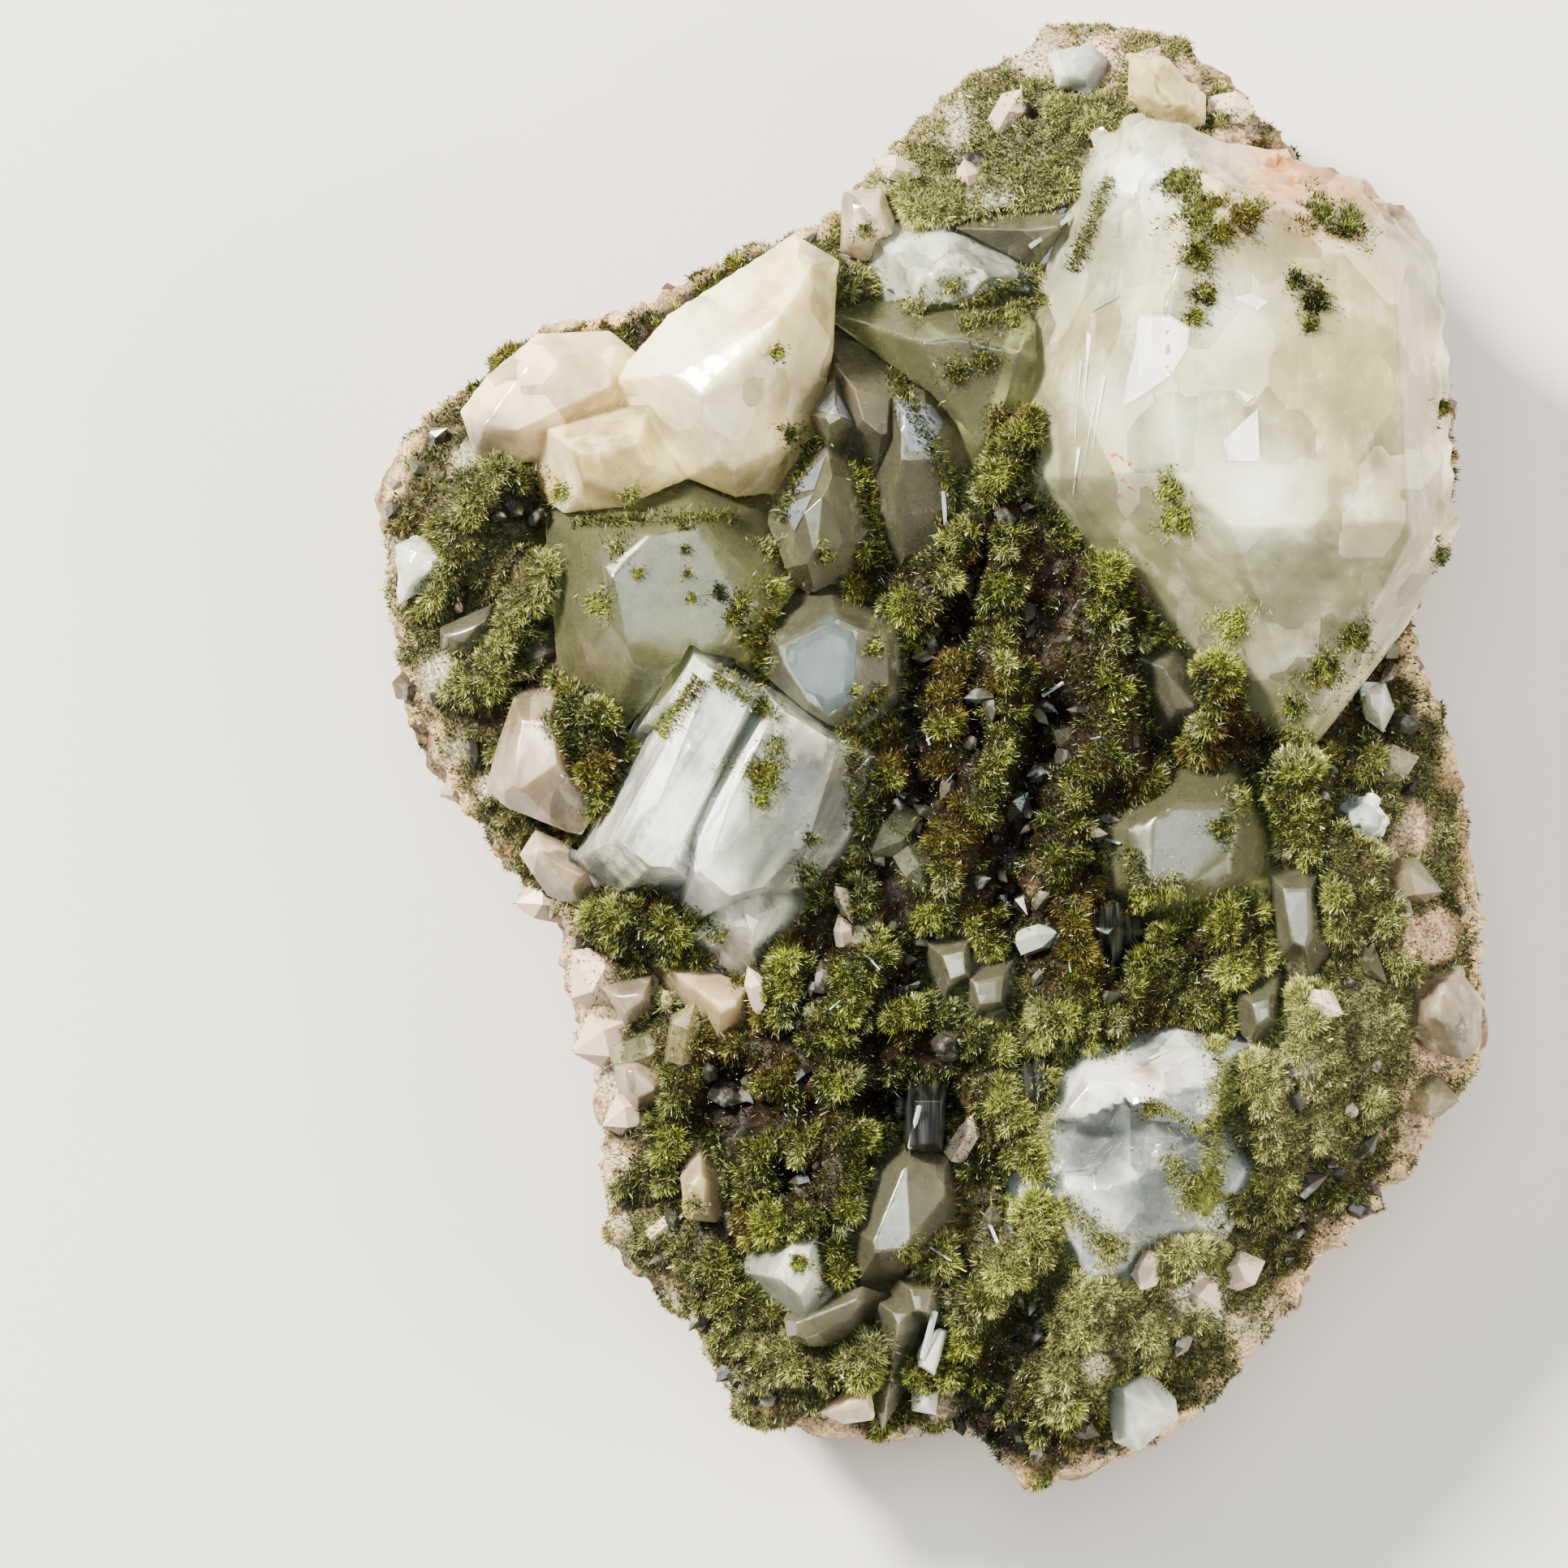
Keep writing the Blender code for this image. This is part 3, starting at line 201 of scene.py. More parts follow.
# Broken faces: their size and depth in mm
BROKEN = {
    "quartz_white_block": (1.5, 0.16),
    "quartz_white_grain": (0.8, 0.6),
    "quartz_top_white": (1.2, 0.6),
    "quartz_upper_blue": (0.9, 0.5),
    "quartz_top_beige": (1.4, 0.5),
    "quartz_right_edge_pinkish": (1.3, 0.4),
    "quartz_far_left_white": (1.1, 0.5),
}

# Flat breaks of the white block, from its highest point down: x, y, depth below the top in mm, slope along x
# and y, and the side of a line on which it broke (a x + b y < c)
CLEAVED = (
    (8.4, -13.4, 0.55, 0.10, -0.26, 0.0, 0.0, 1.0), (8.4, -12.4, 0.9, 0.05, -1.3, 0.0, 0.0, 1.0),
    (6.8, -16.2, 1.9, 0.10, -0.30, -0.25, 1.0, -16.5), (10.2, -16.4, 1.5, -0.34, 0.10, -1.0, 0.3, -13.4),
    (6.6, -18.9, 1.9, 0.05, 0.50, 0.0, 0.0, 1.0), (9.2, -18.6, 2.2, -0.30, 0.42, -1.0, 0.25, -12.4),
    (5.2, -15.0, 1.0, 0.9, 0.0, 0.0, 0.0, 1.0), (11.6, -14.6, 1.2, -1.1, 0.1, 0.0, 0.0, 1.0),
)

# Epidote and rock colours, linear
YELLOW_GREEN = (0.39, 0.44, 0.10)
OLIVE = (0.125, 0.145, 0.036)
DARK_GREEN = (0.030, 0.042, 0.014)
BROWN = (0.12, 0.070, 0.018)
PALE = (0.56, 0.60, 0.40)
SUNLIT = (0.47, 0.47, 0.22)
# Painted shade in the recesses between the ridges, over the dark rock
RECESS_SHADE = (0.012, 0.007, 0.004)
WALL_TAN = (0.62, 0.45, 0.26)
WALL_GREY = (0.36, 0.30, 0.19)
WALL_BROWN = (0.17, 0.105, 0.052)

# Bare stone that shows between the moss: x, y, radius in mm, colour, strength
BARE = (
    (-15.6, -7.4, 1.3, (0.62, 0.50, 0.38), 0.8), (-14.2, -10.4, 1.6, (0.66, 0.52, 0.38), 1.0),
    (-13.4, -13.6, 1.5, (0.68, 0.54, 0.40), 1.0), (-13.3, -17.0, 1.0, (0.62, 0.52, 0.38), 0.9),
    (-11.2, -9.4, 1.4, (0.42, 0.38, 0.22), 0.7), (-20.6, 3.2, 1.1, (0.60, 0.58, 0.46), 0.8),
    (-21.8, 8.6, 1.0, (0.55, 0.56, 0.46), 0.7), (-13.0, -19.6, 0.8, (0.64, 0.62, 0.44), 0.8),
    (-20.0, 0.4, 0.9, (0.56, 0.54, 0.34), 0.7), (-18.4, -1.4, 0.9, (0.60, 0.56, 0.40), 0.7),
    (-11.2, -22.6, 0.8, (0.60, 0.58, 0.40), 0.8), (-8.4, -26.4, 0.8, (0.56, 0.58, 0.38), 0.8),
    (-4.0, -27.6, 0.9, (0.70, 0.56, 0.38), 0.9), (0.4, -27.0, 0.8, (0.56, 0.48, 0.34), 0.7),
    (4.0, 29.0, 1.6, (0.60, 0.54, 0.42), 0.8), (7.0, 28.4, 1.6, (0.62, 0.48, 0.36), 0.8),
    (0.6, 26.0, 1.5, (0.50, 0.50, 0.38), 0.7), (-2.2, 23.4, 1.2, (0.46, 0.44, 0.28), 0.6),
    (10.0, 27.6, 1.5, (0.58, 0.42, 0.30), 0.9), (12.4, 25.6, 1.2, (0.58, 0.44, 0.32), 0.8),
    (-3.6, 20.6, 1.0, (0.60, 0.52, 0.46), 0.7), (2.6, 22.4, 1.6, (0.44, 0.46, 0.36), 0.6),
    (4.2, 19.6, 1.4, (0.50, 0.54, 0.50), 0.6), (-19.0, 12.4, 1.4, (0.30, 0.30, 0.20), 0.6),
    (19.4, -3.4, 1.3, (0.44, 0.34, 0.26), 0.9), (20.4, -8.0, 1.6, (0.52, 0.38, 0.28), 0.9),
    (20.8, -12.0, 1.8, (0.54, 0.40, 0.30), 0.9), (19.6, -15.4, 1.6, (0.36, 0.28, 0.20), 0.8),
    (16.8, -20.6, 1.8, (0.52, 0.40, 0.28), 0.7), (13.4, -23.8, 1.5, (0.46, 0.44, 0.28), 0.7),
    (10.8, -22.6, 1.3, (0.66, 0.70, 0.56), 0.8), (8.2, -21.6, 1.0, (0.70, 0.74, 0.62), 0.7),
    (14.8, -13.2, 1.1, (0.50, 0.50, 0.46), 0.7), (6.6, -25.4, 1.1, (0.56, 0.60, 0.42), 0.6),
    (4.0, -5.0, 0.9, (0.05, 0.03, 0.03), 0.8), (-3.0, -7.6, 1.0, (0.16, 0.17, 0.12), 0.6),
)

# Where the epidote is a brighter yellow green: x, y, radius in mm, strength
BRIGHT_SPOTS = (
    (3.6, -16.0, 1.6, 1.0), (4.1, -18.6, 1.5, 1.0), (2.8, -21.5, 1.6, 1.0), (0.8, -24.2, 1.6, 0.8),
    (11.8, 4.4, 1.6, 0.9), (-3.6, -10.6, 1.8, 0.7), (0.3, -6.6, 1.5, 0.6), (-2.6, 5.0, 1.4, 0.4),
    (15.0, -2.0, 2.0, 0.7), (10.4, -20.5, 3.8, 0.95), (15.4, -13.6, 3.6, 0.8), (6.0, -25.0, 3.0, 0.7),
    (-14.2, -6.8, 2.2, 0.6), (0.0, 25.0, 4.0, 0.8), (-1.0, 21.5, 3.0, 0.7), (5.0, -11.0, 1.8, 0.8),
    (-6.4, -9.4, 1.4, 0.5), (-18.6, 4.0, 2.0, 0.4), (6.9, -3.0, 1.6, 0.3), (15.6, -8.0, 2.6, 0.7),
    (12.4, -9.6, 2.0, 0.6), (-8.6, -24.0, 2.6, 0.6), (-3.0, -26.0, 2.4, 0.6), (-11.6, -17.0, 1.6, 0.4),
    (6.0, 25.6, 2.6, 0.6), (2.6, -11.0, 1.6, 0.4), (19.0, 2.0, 2.2, 0.3), (9.4, -9.0, 2.0, 0.5),
)

# Where the crust is pale sandy green, partly its colour, partly painted sunlight: x, y, radius in mm, strength
PALE_SPOTS = (
    (18.2, -11.0, 4.6, 0.9), (14.6, -14.0, 3.0, 0.5), (10.6, -21.6, 4.0, 0.9), (6.0, -25.4, 3.0, 0.5),
    (1.0, 24.0, 5.6, 0.9), (8.4, 27.4, 4.0, 0.8), (-1.0, 19.6, 3.0, 0.5), (-21.0, 4.0, 3.0, 0.6),
    (-19.0, -1.6, 2.4, 0.5), (-13.6, -12.0, 2.6, 0.7), (-12.2, -20.4, 2.6, 0.7), (-7.0, -26.4, 3.4, 0.7),
    (-16.0, -6.0, 2.2, 0.5), (20.0, -2.6, 3.4, 0.6), (2.8, -20.0, 2.6, 0.5), (4.2, -13.4, 2.4, 0.5),
    (-19.4, 10.4, 3.0, 0.4), (15.5, -14.2, 3.4, 0.7), (8.2, -22.4, 2.6, 0.9), (-17.6, 6.4, 2.6, 0.45),
)

# Small crystals with a place of their own: x, y, half width and length in mm, turn and lean from the
# vertical in degrees, colour
PLACED = (
    (-14.0, -9.4, 1.3, 1.7, 150, 55, (0.62, 0.51, 0.33)), (-12.6, -10.2, 1.2, 1.8, 60, 50, (0.50, 0.43, 0.26)),
    (-13.6, -11.8, 1.2, 1.7, 200, 60, (0.60, 0.50, 0.34)), (-12.0, -12.4, 0.9, 1.7, 20, 55, (0.42, 0.39, 0.25)),
    (-12.6, -15.0, 0.9, 1.5, 190, 65, (0.52, 0.45, 0.31)), (-10.4, -11.6, 0.7, 1.6, 80, 60, (0.40, 0.34, 0.18)),
    (-16.2, -6.2, 0.9, 1.4, 170, 60, (0.46, 0.38, 0.29)), (-11.2, -19.6, 0.4, 1.0, 40, 70, (0.85, 0.86, 0.80)),
    (1.15, -15.9, 0.55, 1.3, 60, 55, (0.50, 0.56, 0.60)), (1.9, -18.2, 0.5, 1.0, 10, 60, (0.05, 0.04, 0.04)),
    (2.3, -19.4, 0.5, 1.0, 80, 60, (0.06, 0.05, 0.05)), (-0.7, -22.2, 0.7, 1.1, 100, 60, (0.30, 0.36, 0.34)),
    (0.7, -9.0, 0.7, 1.1, 120, 55, (0.30, 0.35, 0.37)), (2.2, -9.6, 0.7, 1.1, 60, 60, (0.26, 0.31, 0.34)),
    (-7.3, -9.9, 0.5, 1.3, 110, 65, (0.84, 0.86, 0.82)), (-0.5, -26.6, 0.6, 1.4, 100, 50, (0.60, 0.60, 0.46)),
    (-1.4, 3.7, 0.35, 1.0, 70, 55, (0.60, 0.67, 0.78)), (-3.7, -6.2, 0.45, 1.1, 120, 60, (0.86, 0.86, 0.80)),
    (-3.8, -7.6, 0.45, 1.1, 100, 60, (0.40, 0.42, 0.34)), (4.1, -7.7, 0.6, 1.0, 20, 55, (0.30, 0.35, 0.31)),
    (-1.9, -3.4, 1.1, 1.6, 230, 50, (0.15, 0.16, 0.10)), (-0.9, -4.8, 0.8, 1.3, 300, 55, (0.12, 0.13, 0.09)),
    (10.6, 2.8, 1.0, 1.5, 250, 55, (0.14, 0.15, 0.11)), (12.4, -1.2, 0.9, 1.4, 200, 55, (0.17, 0.18, 0.13)),
    (5.4, 0.4, 0.6, 1.1, 140, 55, (0.09, 0.08, 0.08)), (3.2, -2.4, 0.6, 1.1, 40, 60, (0.07, 0.06, 0.06)),
    (-16.4, 4.2, 1.0, 1.4, 200, 50, (0.05, 0.035, 0.04)), (-19.0, 5.2, 0.8, 1.3, 150, 55, (0.30, 0.33, 0.33)),
    (3.6, 21.6, 0.35, 1.8, 40, 75, (0.40, 0.46, 0.52)), (5.2, 22.2, 0.30, 1.7, 55, 75, (0.55, 0.60, 0.64)),
    (1.4, 23.6, 0.6, 1.1, 100, 60, (0.60, 0.60, 0.54)), (-1.6, 24.0, 0.6, 1.1, 160, 60, (0.58, 0.55, 0.42)),
    (3.0, 26.4, 0.7, 1.1, 60, 55, (0.62, 0.58, 0.48)), (8.6, 28.2, 0.8, 1.1, 30, 60, (0.62, 0.50, 0.38)),
    (12.2, 26.4, 0.8, 1.1, 10, 65, (0.52, 0.38, 0.27)), (10.8, -22.2, 0.7, 1.1, 330, 60, (0.72, 0.74, 0.68)),
    (12.4, -21.4, 0.8, 1.3, 20, 60, (0.66, 0.62, 0.54)), (15.6, -10.4, 0.7, 1.3, 0, 60, (0.52, 0.54, 0.50)),
    (14.3, -6.2, 0.7, 1.4, 60, 50, (0.30, 0.35, 0.38)), (12.0, -10.4, 0.6, 1.1, 200, 55, (0.30, 0.33, 0.30)),
    (19.4, -5.4, 1.0, 1.4, 10, 65, (0.44, 0.33, 0.25)), (20.2, -14.2, 1.0, 1.4, 350, 65, (0.42, 0.31, 0.23)),
    (18.6, -0.6, 0.8, 1.4, 20, 60, (0.40, 0.32, 0.24)), (8.6, -21.4, 0.6, 1.0, 240, 60, (0.74, 0.78, 0.72)),
)

# Thin bright rods: from x, y to x, y in mm, half width
RODS = (
    (0.25, 10.4, 0.35, 9.2, 0.11), (4.4, 2.3, 5.2, 2.8, 0.08), (-0.5, 0.9, -0.3, 0.2, 0.07),
    (-0.80, -14.7, -1.15, -16.3, 0.10), (-1.6, -9.9, -0.7, -9.5, 0.10), (0.9, -11.9, 1.2, -12.6, 0.07),
    (1.0, -17.6, 1.7, -18.2, 0.09), (2.2, -19.5, 2.5, -20.2, 0.10), (-0.15, -23.2, -0.6, -25.0, 0.14),
    (4.0, 20.8, 5.6, 22.0, 0.12), (6.7, -3.6, 7.5, -3.8, 0.07), (-2.9, -0.4, -3.4, -0.9, 0.06),
    (7.2, 18.4, 6.2, 17.9, 0.06), (-0.2, -20.4, 0.6, -20.9, 0.05), (9.3, -12.3, 8.6, -12.6, 0.08),
)

# Tufts of epidote on crystals: x, y, radius, needles, brightness
CRYSTAL_TUFTS = (
    (9.9, 23.0, 0.9, 700, 0.35), (10.6, 21.6, 1.0, 800, 0.35), (10.4, 20.0, 0.8, 500, 0.45),
    (10.7, 18.4, 0.6, 300, 0.45), (10.3, 17.5, 0.45, 160, 0.8), (12.4, 21.6, 0.8, 500, 0.4),
    (11.4, 20.9, 0.6, 300, 0.4), (15.4, 21.7, 0.8, 500, 0.3), (16.6, 21.3, 0.9, 600, 0.3),
    (14.4, 19.0, 0.5, 160, 0.2), (15.2, 18.2, 0.7, 420, 0.2), (15.0, 17.2, 0.4, 120, 0.3),
    (9.3, 10.6, 0.55, 260, 0.8), (9.7, 9.4, 0.7, 420, 0.75), (12.0, 5.2, 0.8, 420, 0.9),
    (15.8, 3.2, 0.9, 420, 0.5), (17.0, 4.6, 0.8, 300, 0.4), (14.6, 1.8, 0.6, 200, 0.4),
    (-7.1, -0.9, 0.95, 700, 1.0), (-6.6, 0.2, 0.5, 200, 0.8), (-7.2, -2.0, 0.4, 120, 0.9),
    (-6.6, 6.6, 0.6, 260, 0.8), (-6.9, 8.3, 0.5, 200, 0.6), (-8.0, 6.0, 0.6, 200, 0.5),
    (-13.8, 6.0, 0.6, 260, 0.7), (-13.1, 8.4, 0.5, 160, 0.4), (-12.2, 7.2, 0.35, 80, 0.4),
    (-15.4, 10.6, 0.5, 160, 0.8), (-12.6, 10.4, 0.4, 100, 0.9), (-6.0, 13.0, 0.5, 160, 0.4),
    (-6.6, 16.2, 0.4, 90, 0.5), (9.6, -5.5, 0.7, 300, 0.8), (11.6, -3.2, 0.7, 260, 0.5),
    (12.2, -14.4, 0.8, 700, 0.6), (11.4, -12.0, 0.6, 300, 0.5), (10.8, -18.4, 0.8, 600, 0.7),
    (7.4, -12.0, 0.5, 200, 0.7), (8.6, -6.0, 0.5, 160, 0.8), (0.8, 15.4, 0.7, 260, 0.4), (2.4, 13.6, 0.6, 200, 0.3),
    (-4.6, 8.0, 0.4, 120, 0.6), (0.4, 9.4, 0.5, 160, 0.3), (-5.6, -21.0, 0.5, 200, 0.7),
    (-1.0, -20.6, 0.6, 260, 0.5), (-10.0, -18.6, 0.45, 140, 0.8), (8.6, -14.6, 0.5, 160, 0.4),
    (11.0, -17.6, 0.8, 360, 0.5), (7.0, -20.4, 0.8, 360, 0.6), (5.0, -18.8, 0.5, 200, 0.7),
    (-10.4, 9.2, 0.25, 50, 0.3), (-10.3, 8.2, 0.25, 60, 0.4), (-10.2, 7.2, 0.25, 60, 0.3),
    (-10.0, 6.2, 0.30, 60, 0.3), (-8.9, 6.4, 0.40, 120, 0.25), (-8.3, 5.4, 0.50, 160, 0.3),
    (-7.8, 4.6, 0.40, 120, 0.4), (-7.2, 2.9, 0.35, 90, 0.6), (-5.4, -5.0, 0.55, 200, 0.3),
    (-5.2, -3.6, 0.35, 90, 0.3), (-3.4, 2.4, 0.30, 60, 0.5), (-2.6, 4.2, 0.45, 110, 0.5),
    (1.9, 15.9, 0.60, 200, 0.3), (3.0, 17.6, 0.50, 160, 0.5), (-0.9, 18.2, 0.60, 200, 0.4),
    (20.6, 8.0, 0.5, 200, 0.3), (20.6, 14.0, 0.45, 120, 0.3),
    (12.4, -1.9, 0.6, 200, 0.5), (0.6, 19.0, 0.6, 160, 0.5), (-2.9, 21.4, 0.5, 120, 0.3),
)


# Seams of epidote between crystals: from x, y to x, y, half width, needles, brightness
SEAMS = (
    (-11.3, 0.6, -9.6, 2.9, 0.35, 420, 0.6), (-9.2, 3.1, -6.4, 1.3, 0.30, 420, 0.7),
    (-3.5, 0.6, -3.3, -3.2, 0.40, 420, 0.5), (-6.9, 5.8, -7.1, 3.4, 0.30, 260, 0.9),
    (-4.2, 0.5, -2.2, 2.6, 0.30, 260, 0.4), (-4.8, 13.0, -6.4, 9.4, 0.30, 320, 0.3),
    (-1.9, 15.6, 0.9, 10.0, 0.35, 520, 0.3), (-3.2, 12.0, -2.3, 7.0, 0.40, 700, 0.6),
    (-15.0, 9.3, -8.2, 9.5, 0.22, 420, 0.5), (-12.2, -5.6, -8.6, -7.6, 0.35, 420, 0.5),
    (4.6, -13.0, 4.3, -17.6, 0.45, 700, 1.0), (5.0, -18.4, 7.4, -20.4, 0.50, 600, 1.0),
    (10.8, -18.4, 11.7, -12.6, 0.55, 900, 0.6), (8.6, -14.4, 10.8, -15.4, 0.25, 240, 0.6),
    (9.2, -16.4, 10.4, -18.2, 0.45, 420, 0.7), (5.0, -12.2, 7.2, -10.6, 0.35, 380, 0.8),
    (0.9, 17.2, 4.6, 18.6, 0.30, 420, 0.4), (1.0, 18.2, 4.4, 19.8, 0.35, 360, 0.6),
    (8.0, -4.0, 8.4, -6.6, 0.35, 320, 0.5), (9.4, -7.0, 12.4, -5.8, 0.35, 380, 0.7),
    (-16.2, 1.4, -14.2, -1.2, 0.35, 300, 0.5), (-8.4, -9.4, -5.6, -9.9, 0.35, 320, 0.5),
    (5.6, 19.6, 7.2, 23.4, 0.30, 360, 0.3), (12.6, 0.8, 15.4, 0.6, 0.35, 300, 0.5),
)

# Flat bright patches on the quartz, as colour, sharpness of the edge and corners in mm: painted highlights
# where cracks flash white, and painted sky reflections on small faces that mirror the sky
# Colours of the painted highlights and of the painted sky reflections, the kite face's the darkest
FLASH_HIGHLIGHT = (1.00, 0.99, 0.95)
SKY_PATCH_REFLECTION = (0.20, 0.23, 0.26)
KITE_SKY_REFLECTION = (0.105, 0.135, 0.135)
FLASHES = (
    (FLASH_HIGHLIGHT, 9, ((8.1, 17.7), (9.4, 17.6), (10.2, 17.1), (10.1, 16.2), (9.3, 15.0), (8.2, 14.2), (7.4, 13.8),
                (7.6, 15.0), (7.9, 16.3))),
    (FLASH_HIGHLIGHT, 9, ((11.4, 12.5), (12.9, 13.9), (13.0, 11.6), (11.6, 11.6))),
    (FLASH_HIGHLIGHT, 2, ((11.7, 18.3), (12.6, 18.5), (13.4, 18.1), (12.9, 17.7), (12.3, 18.0))),
    (FLASH_HIGHLIGHT, 4, ((11.9, 14.6), (12.8, 14.3), (12.4, 14.0))),
    (FLASH_HIGHLIGHT, 2, ((-11.1, -3.3), (-10.4, -3.5), (-9.5, -4.8), (-9.7, -5.1), (-10.6, -4.6))),
    (FLASH_HIGHLIGHT, 3, ((-9.3, -1.8), (-8.9, -1.9), (-9.6, -3.1))),
    (FLASH_HIGHLIGHT, 4, ((-7.9, -6.6), (-7.3, -6.9), (-7.6, -7.6))),
    (FLASH_HIGHLIGHT, 4, ((6.1, 17.2), (6.3, 17.0), (6.0, 14.6), (5.9, 13.4))),
    (FLASH_HIGHLIGHT, 4, ((5.8, 16.0), (5.9, 16.0), (5.6, 13.0), (5.6, 12.2))),
    (FLASH_HIGHLIGHT, 4, ((6.7, 15.4), (6.85, 15.3), (6.4, 12.8), (6.2, 11.6))),
    (FLASH_HIGHLIGHT, 4, ((6.4, 14.4), (6.5, 14.4), (6.0, 12.0), (5.8, 10.8))),
    (FLASH_HIGHLIGHT, 4, ((5.7, 12.4), (5.85, 12.4), (5.6, 10.8), (5.5, 10.2))),
    (KITE_SKY_REFLECTION, 20, ((-6.75, 4.35), (-4.25, 5.75), (-3.2, 5.25), (-3.4, 1.4), (-4.5, 0.85))),
    (FLASH_HIGHLIGHT, 2, ((-7.0, 1.6), (-6.7, 1.4), (-8.5, -2.2), (-9.3, -4.6), (-10.4, -4.4), (-8.9, -1.8))),
    (FLASH_HIGHLIGHT, 2, ((-9.6, 3.0), (-9.3, 2.8), (-11.4, -2.4), (-12.6, -3.4), (-12.4, -2.4), (-10.8, 0.8))),
    (FLASH_HIGHLIGHT, 1, ((6.8, 24.4), (8.4, 24.9), (9.4, 23.2), (8.0, 22.2), (7.0, 22.6))),
    (SKY_PATCH_REFLECTION, 12, ((-4.2, 14.8), (-3.4, 13.4), (-5.0, 13.9))),
    (SKY_PATCH_REFLECTION, 8, ((-1.8, 14.4), (-0.2, 14.2), (0.3, 13.4), (-0.3, 12.3), (-0.6, 12.1), (-1.2, 12.1), (-1.6, 13.3))),
    (SKY_PATCH_REFLECTION, 12, ((-4.5, 12.1), (-5.0, 10.6), (-6.2, 10.4))),
    (SKY_PATCH_REFLECTION, 12, ((-5.0, 10.5), (-5.8, 8.9), (-6.4, 9.9))),
)

# Rust-red specks on the big crystal: x, y, length in mm, turn in degrees
RUST = (
    (7.15, 12.0, 0.32, 20), (7.45, 11.85, 0.34, -50), (7.75, 11.6, 0.20, 70), (7.05, 11.3, 0.18, 0),
    (7.5, 11.0, 0.16, 40), (7.8, 10.7, 0.22, -20), (7.4, 10.4, 0.14, 60), (8.4, 6.9, 0.22, 30),
)


class EpidoteSettings(PropertyGroup):
    """Sizes of the epidote crust."""

    needle_length: FloatProperty(
        name="Needle length", description="Length of a full-grown needle", default=0.00026, unit="LENGTH")
    needle_width: FloatProperty(
        name="Needle width", description="Thickness of a needle", default=0.000062, unit="LENGTH")
    crest_density: FloatProperty(
        name="Needles on crests", description="Needles per square millimetre on the ridges", default=430.0)
    slope_density: FloatProperty(
        name="Needles on slopes", description="Needles per square millimetre between ridges", default=110.0)
    skin_grain: FloatProperty(
        name="Skin grain", description="Face size of the rock's fine skin", default=0.00030, unit="LENGTH")
    needles: IntProperty(name="Needles", description="Most needles on the rock", default=480000)
    fringe_needles: IntProperty(
        name="Fringe needles", description="Most needles at the crystals' feet", default=110000)
    wall_points: IntProperty(
        name="Wall grains", description="Broken quartz grains in the side walls", default=170)
    seed: IntProperty(name="Seed", description="Which random growth is shown", default=7)


class QuartzSettings(PropertyGroup):
    """Optical values and small crystals of the quartz."""

    refraction: FloatProperty(
        name="Refraction", description="Index of refraction of quartz", default=1.544)
    clear_share: FloatProperty(
        name="Clear share", description="Transmission of the clear stone", default=0.92)
    milk_share: FloatProperty(
        name="Milk transmission", description="Transmission of the milky stone", default=0.18)
    small_points: IntProperty(
        name="Small points", description="Tiny quartz points in the recesses", default=900)
    rods: IntProperty(name="Rods", description="Thin bright rods in the moss", default=80)
    # The specks are white grains that also stand for glints in the moss: partly painted highlights
    specks: IntProperty(name="Specks", description="White grains in the moss", default=1700)


class StageSettings(PropertyGroup):
    """Floor, light and camera."""

    floor_colour: FloatVectorProperty(
        name="Floor colour", description="Colour of the floor", subtype="COLOR", default=(0.66, 0.65, 0.63))
    key_power: FloatProperty(
        name="Key light", description="Power of the warm light from the upper left", default=6.5)
    camera_height: FloatProperty(
        name="Camera height", description="Camera above the crystals", default=0.5, unit="LENGTH")
    picture_width: FloatProperty(
        name="Picture width", description="What the picture's width covers", default=0.0644, unit="LENGTH")


class Value:
    """A shader socket that can be used in sums."""

    def __init__(self, surface, socket):
        self.surface = surface
        self.socket = socket

    def maths(self, operation, *others, first=None):
        terms = [self] + list(others) if first is None else [first, self]
        return self.surface.value("ShaderNodeMath", {"operation": operation}, dict(enumerate(terms)))

    def __add__(self, other):
        return self.maths("ADD", other)

    __radd__ = __add__

    def __sub__(self, other):
        return self.maths("SUBTRACT", other)

    def __rsub__(self, other):
        return self.maths("SUBTRACT", first=other)

    def __mul__(self, other):
        return self.maths("MULTIPLY", other)

    __rmul__ = __mul__

    def __pow__(self, other):
        return self.maths("POWER", other)

    def between(self, low, high):
        """0 below low, 1 above high, smooth between."""
        settings = {"interpolation_type": "SMOOTHSTEP"}
        sockets = {"Value": self, "From Min": low, "From Max": high}
        return self.surface.value("ShaderNodeMapRange", settings, sockets)


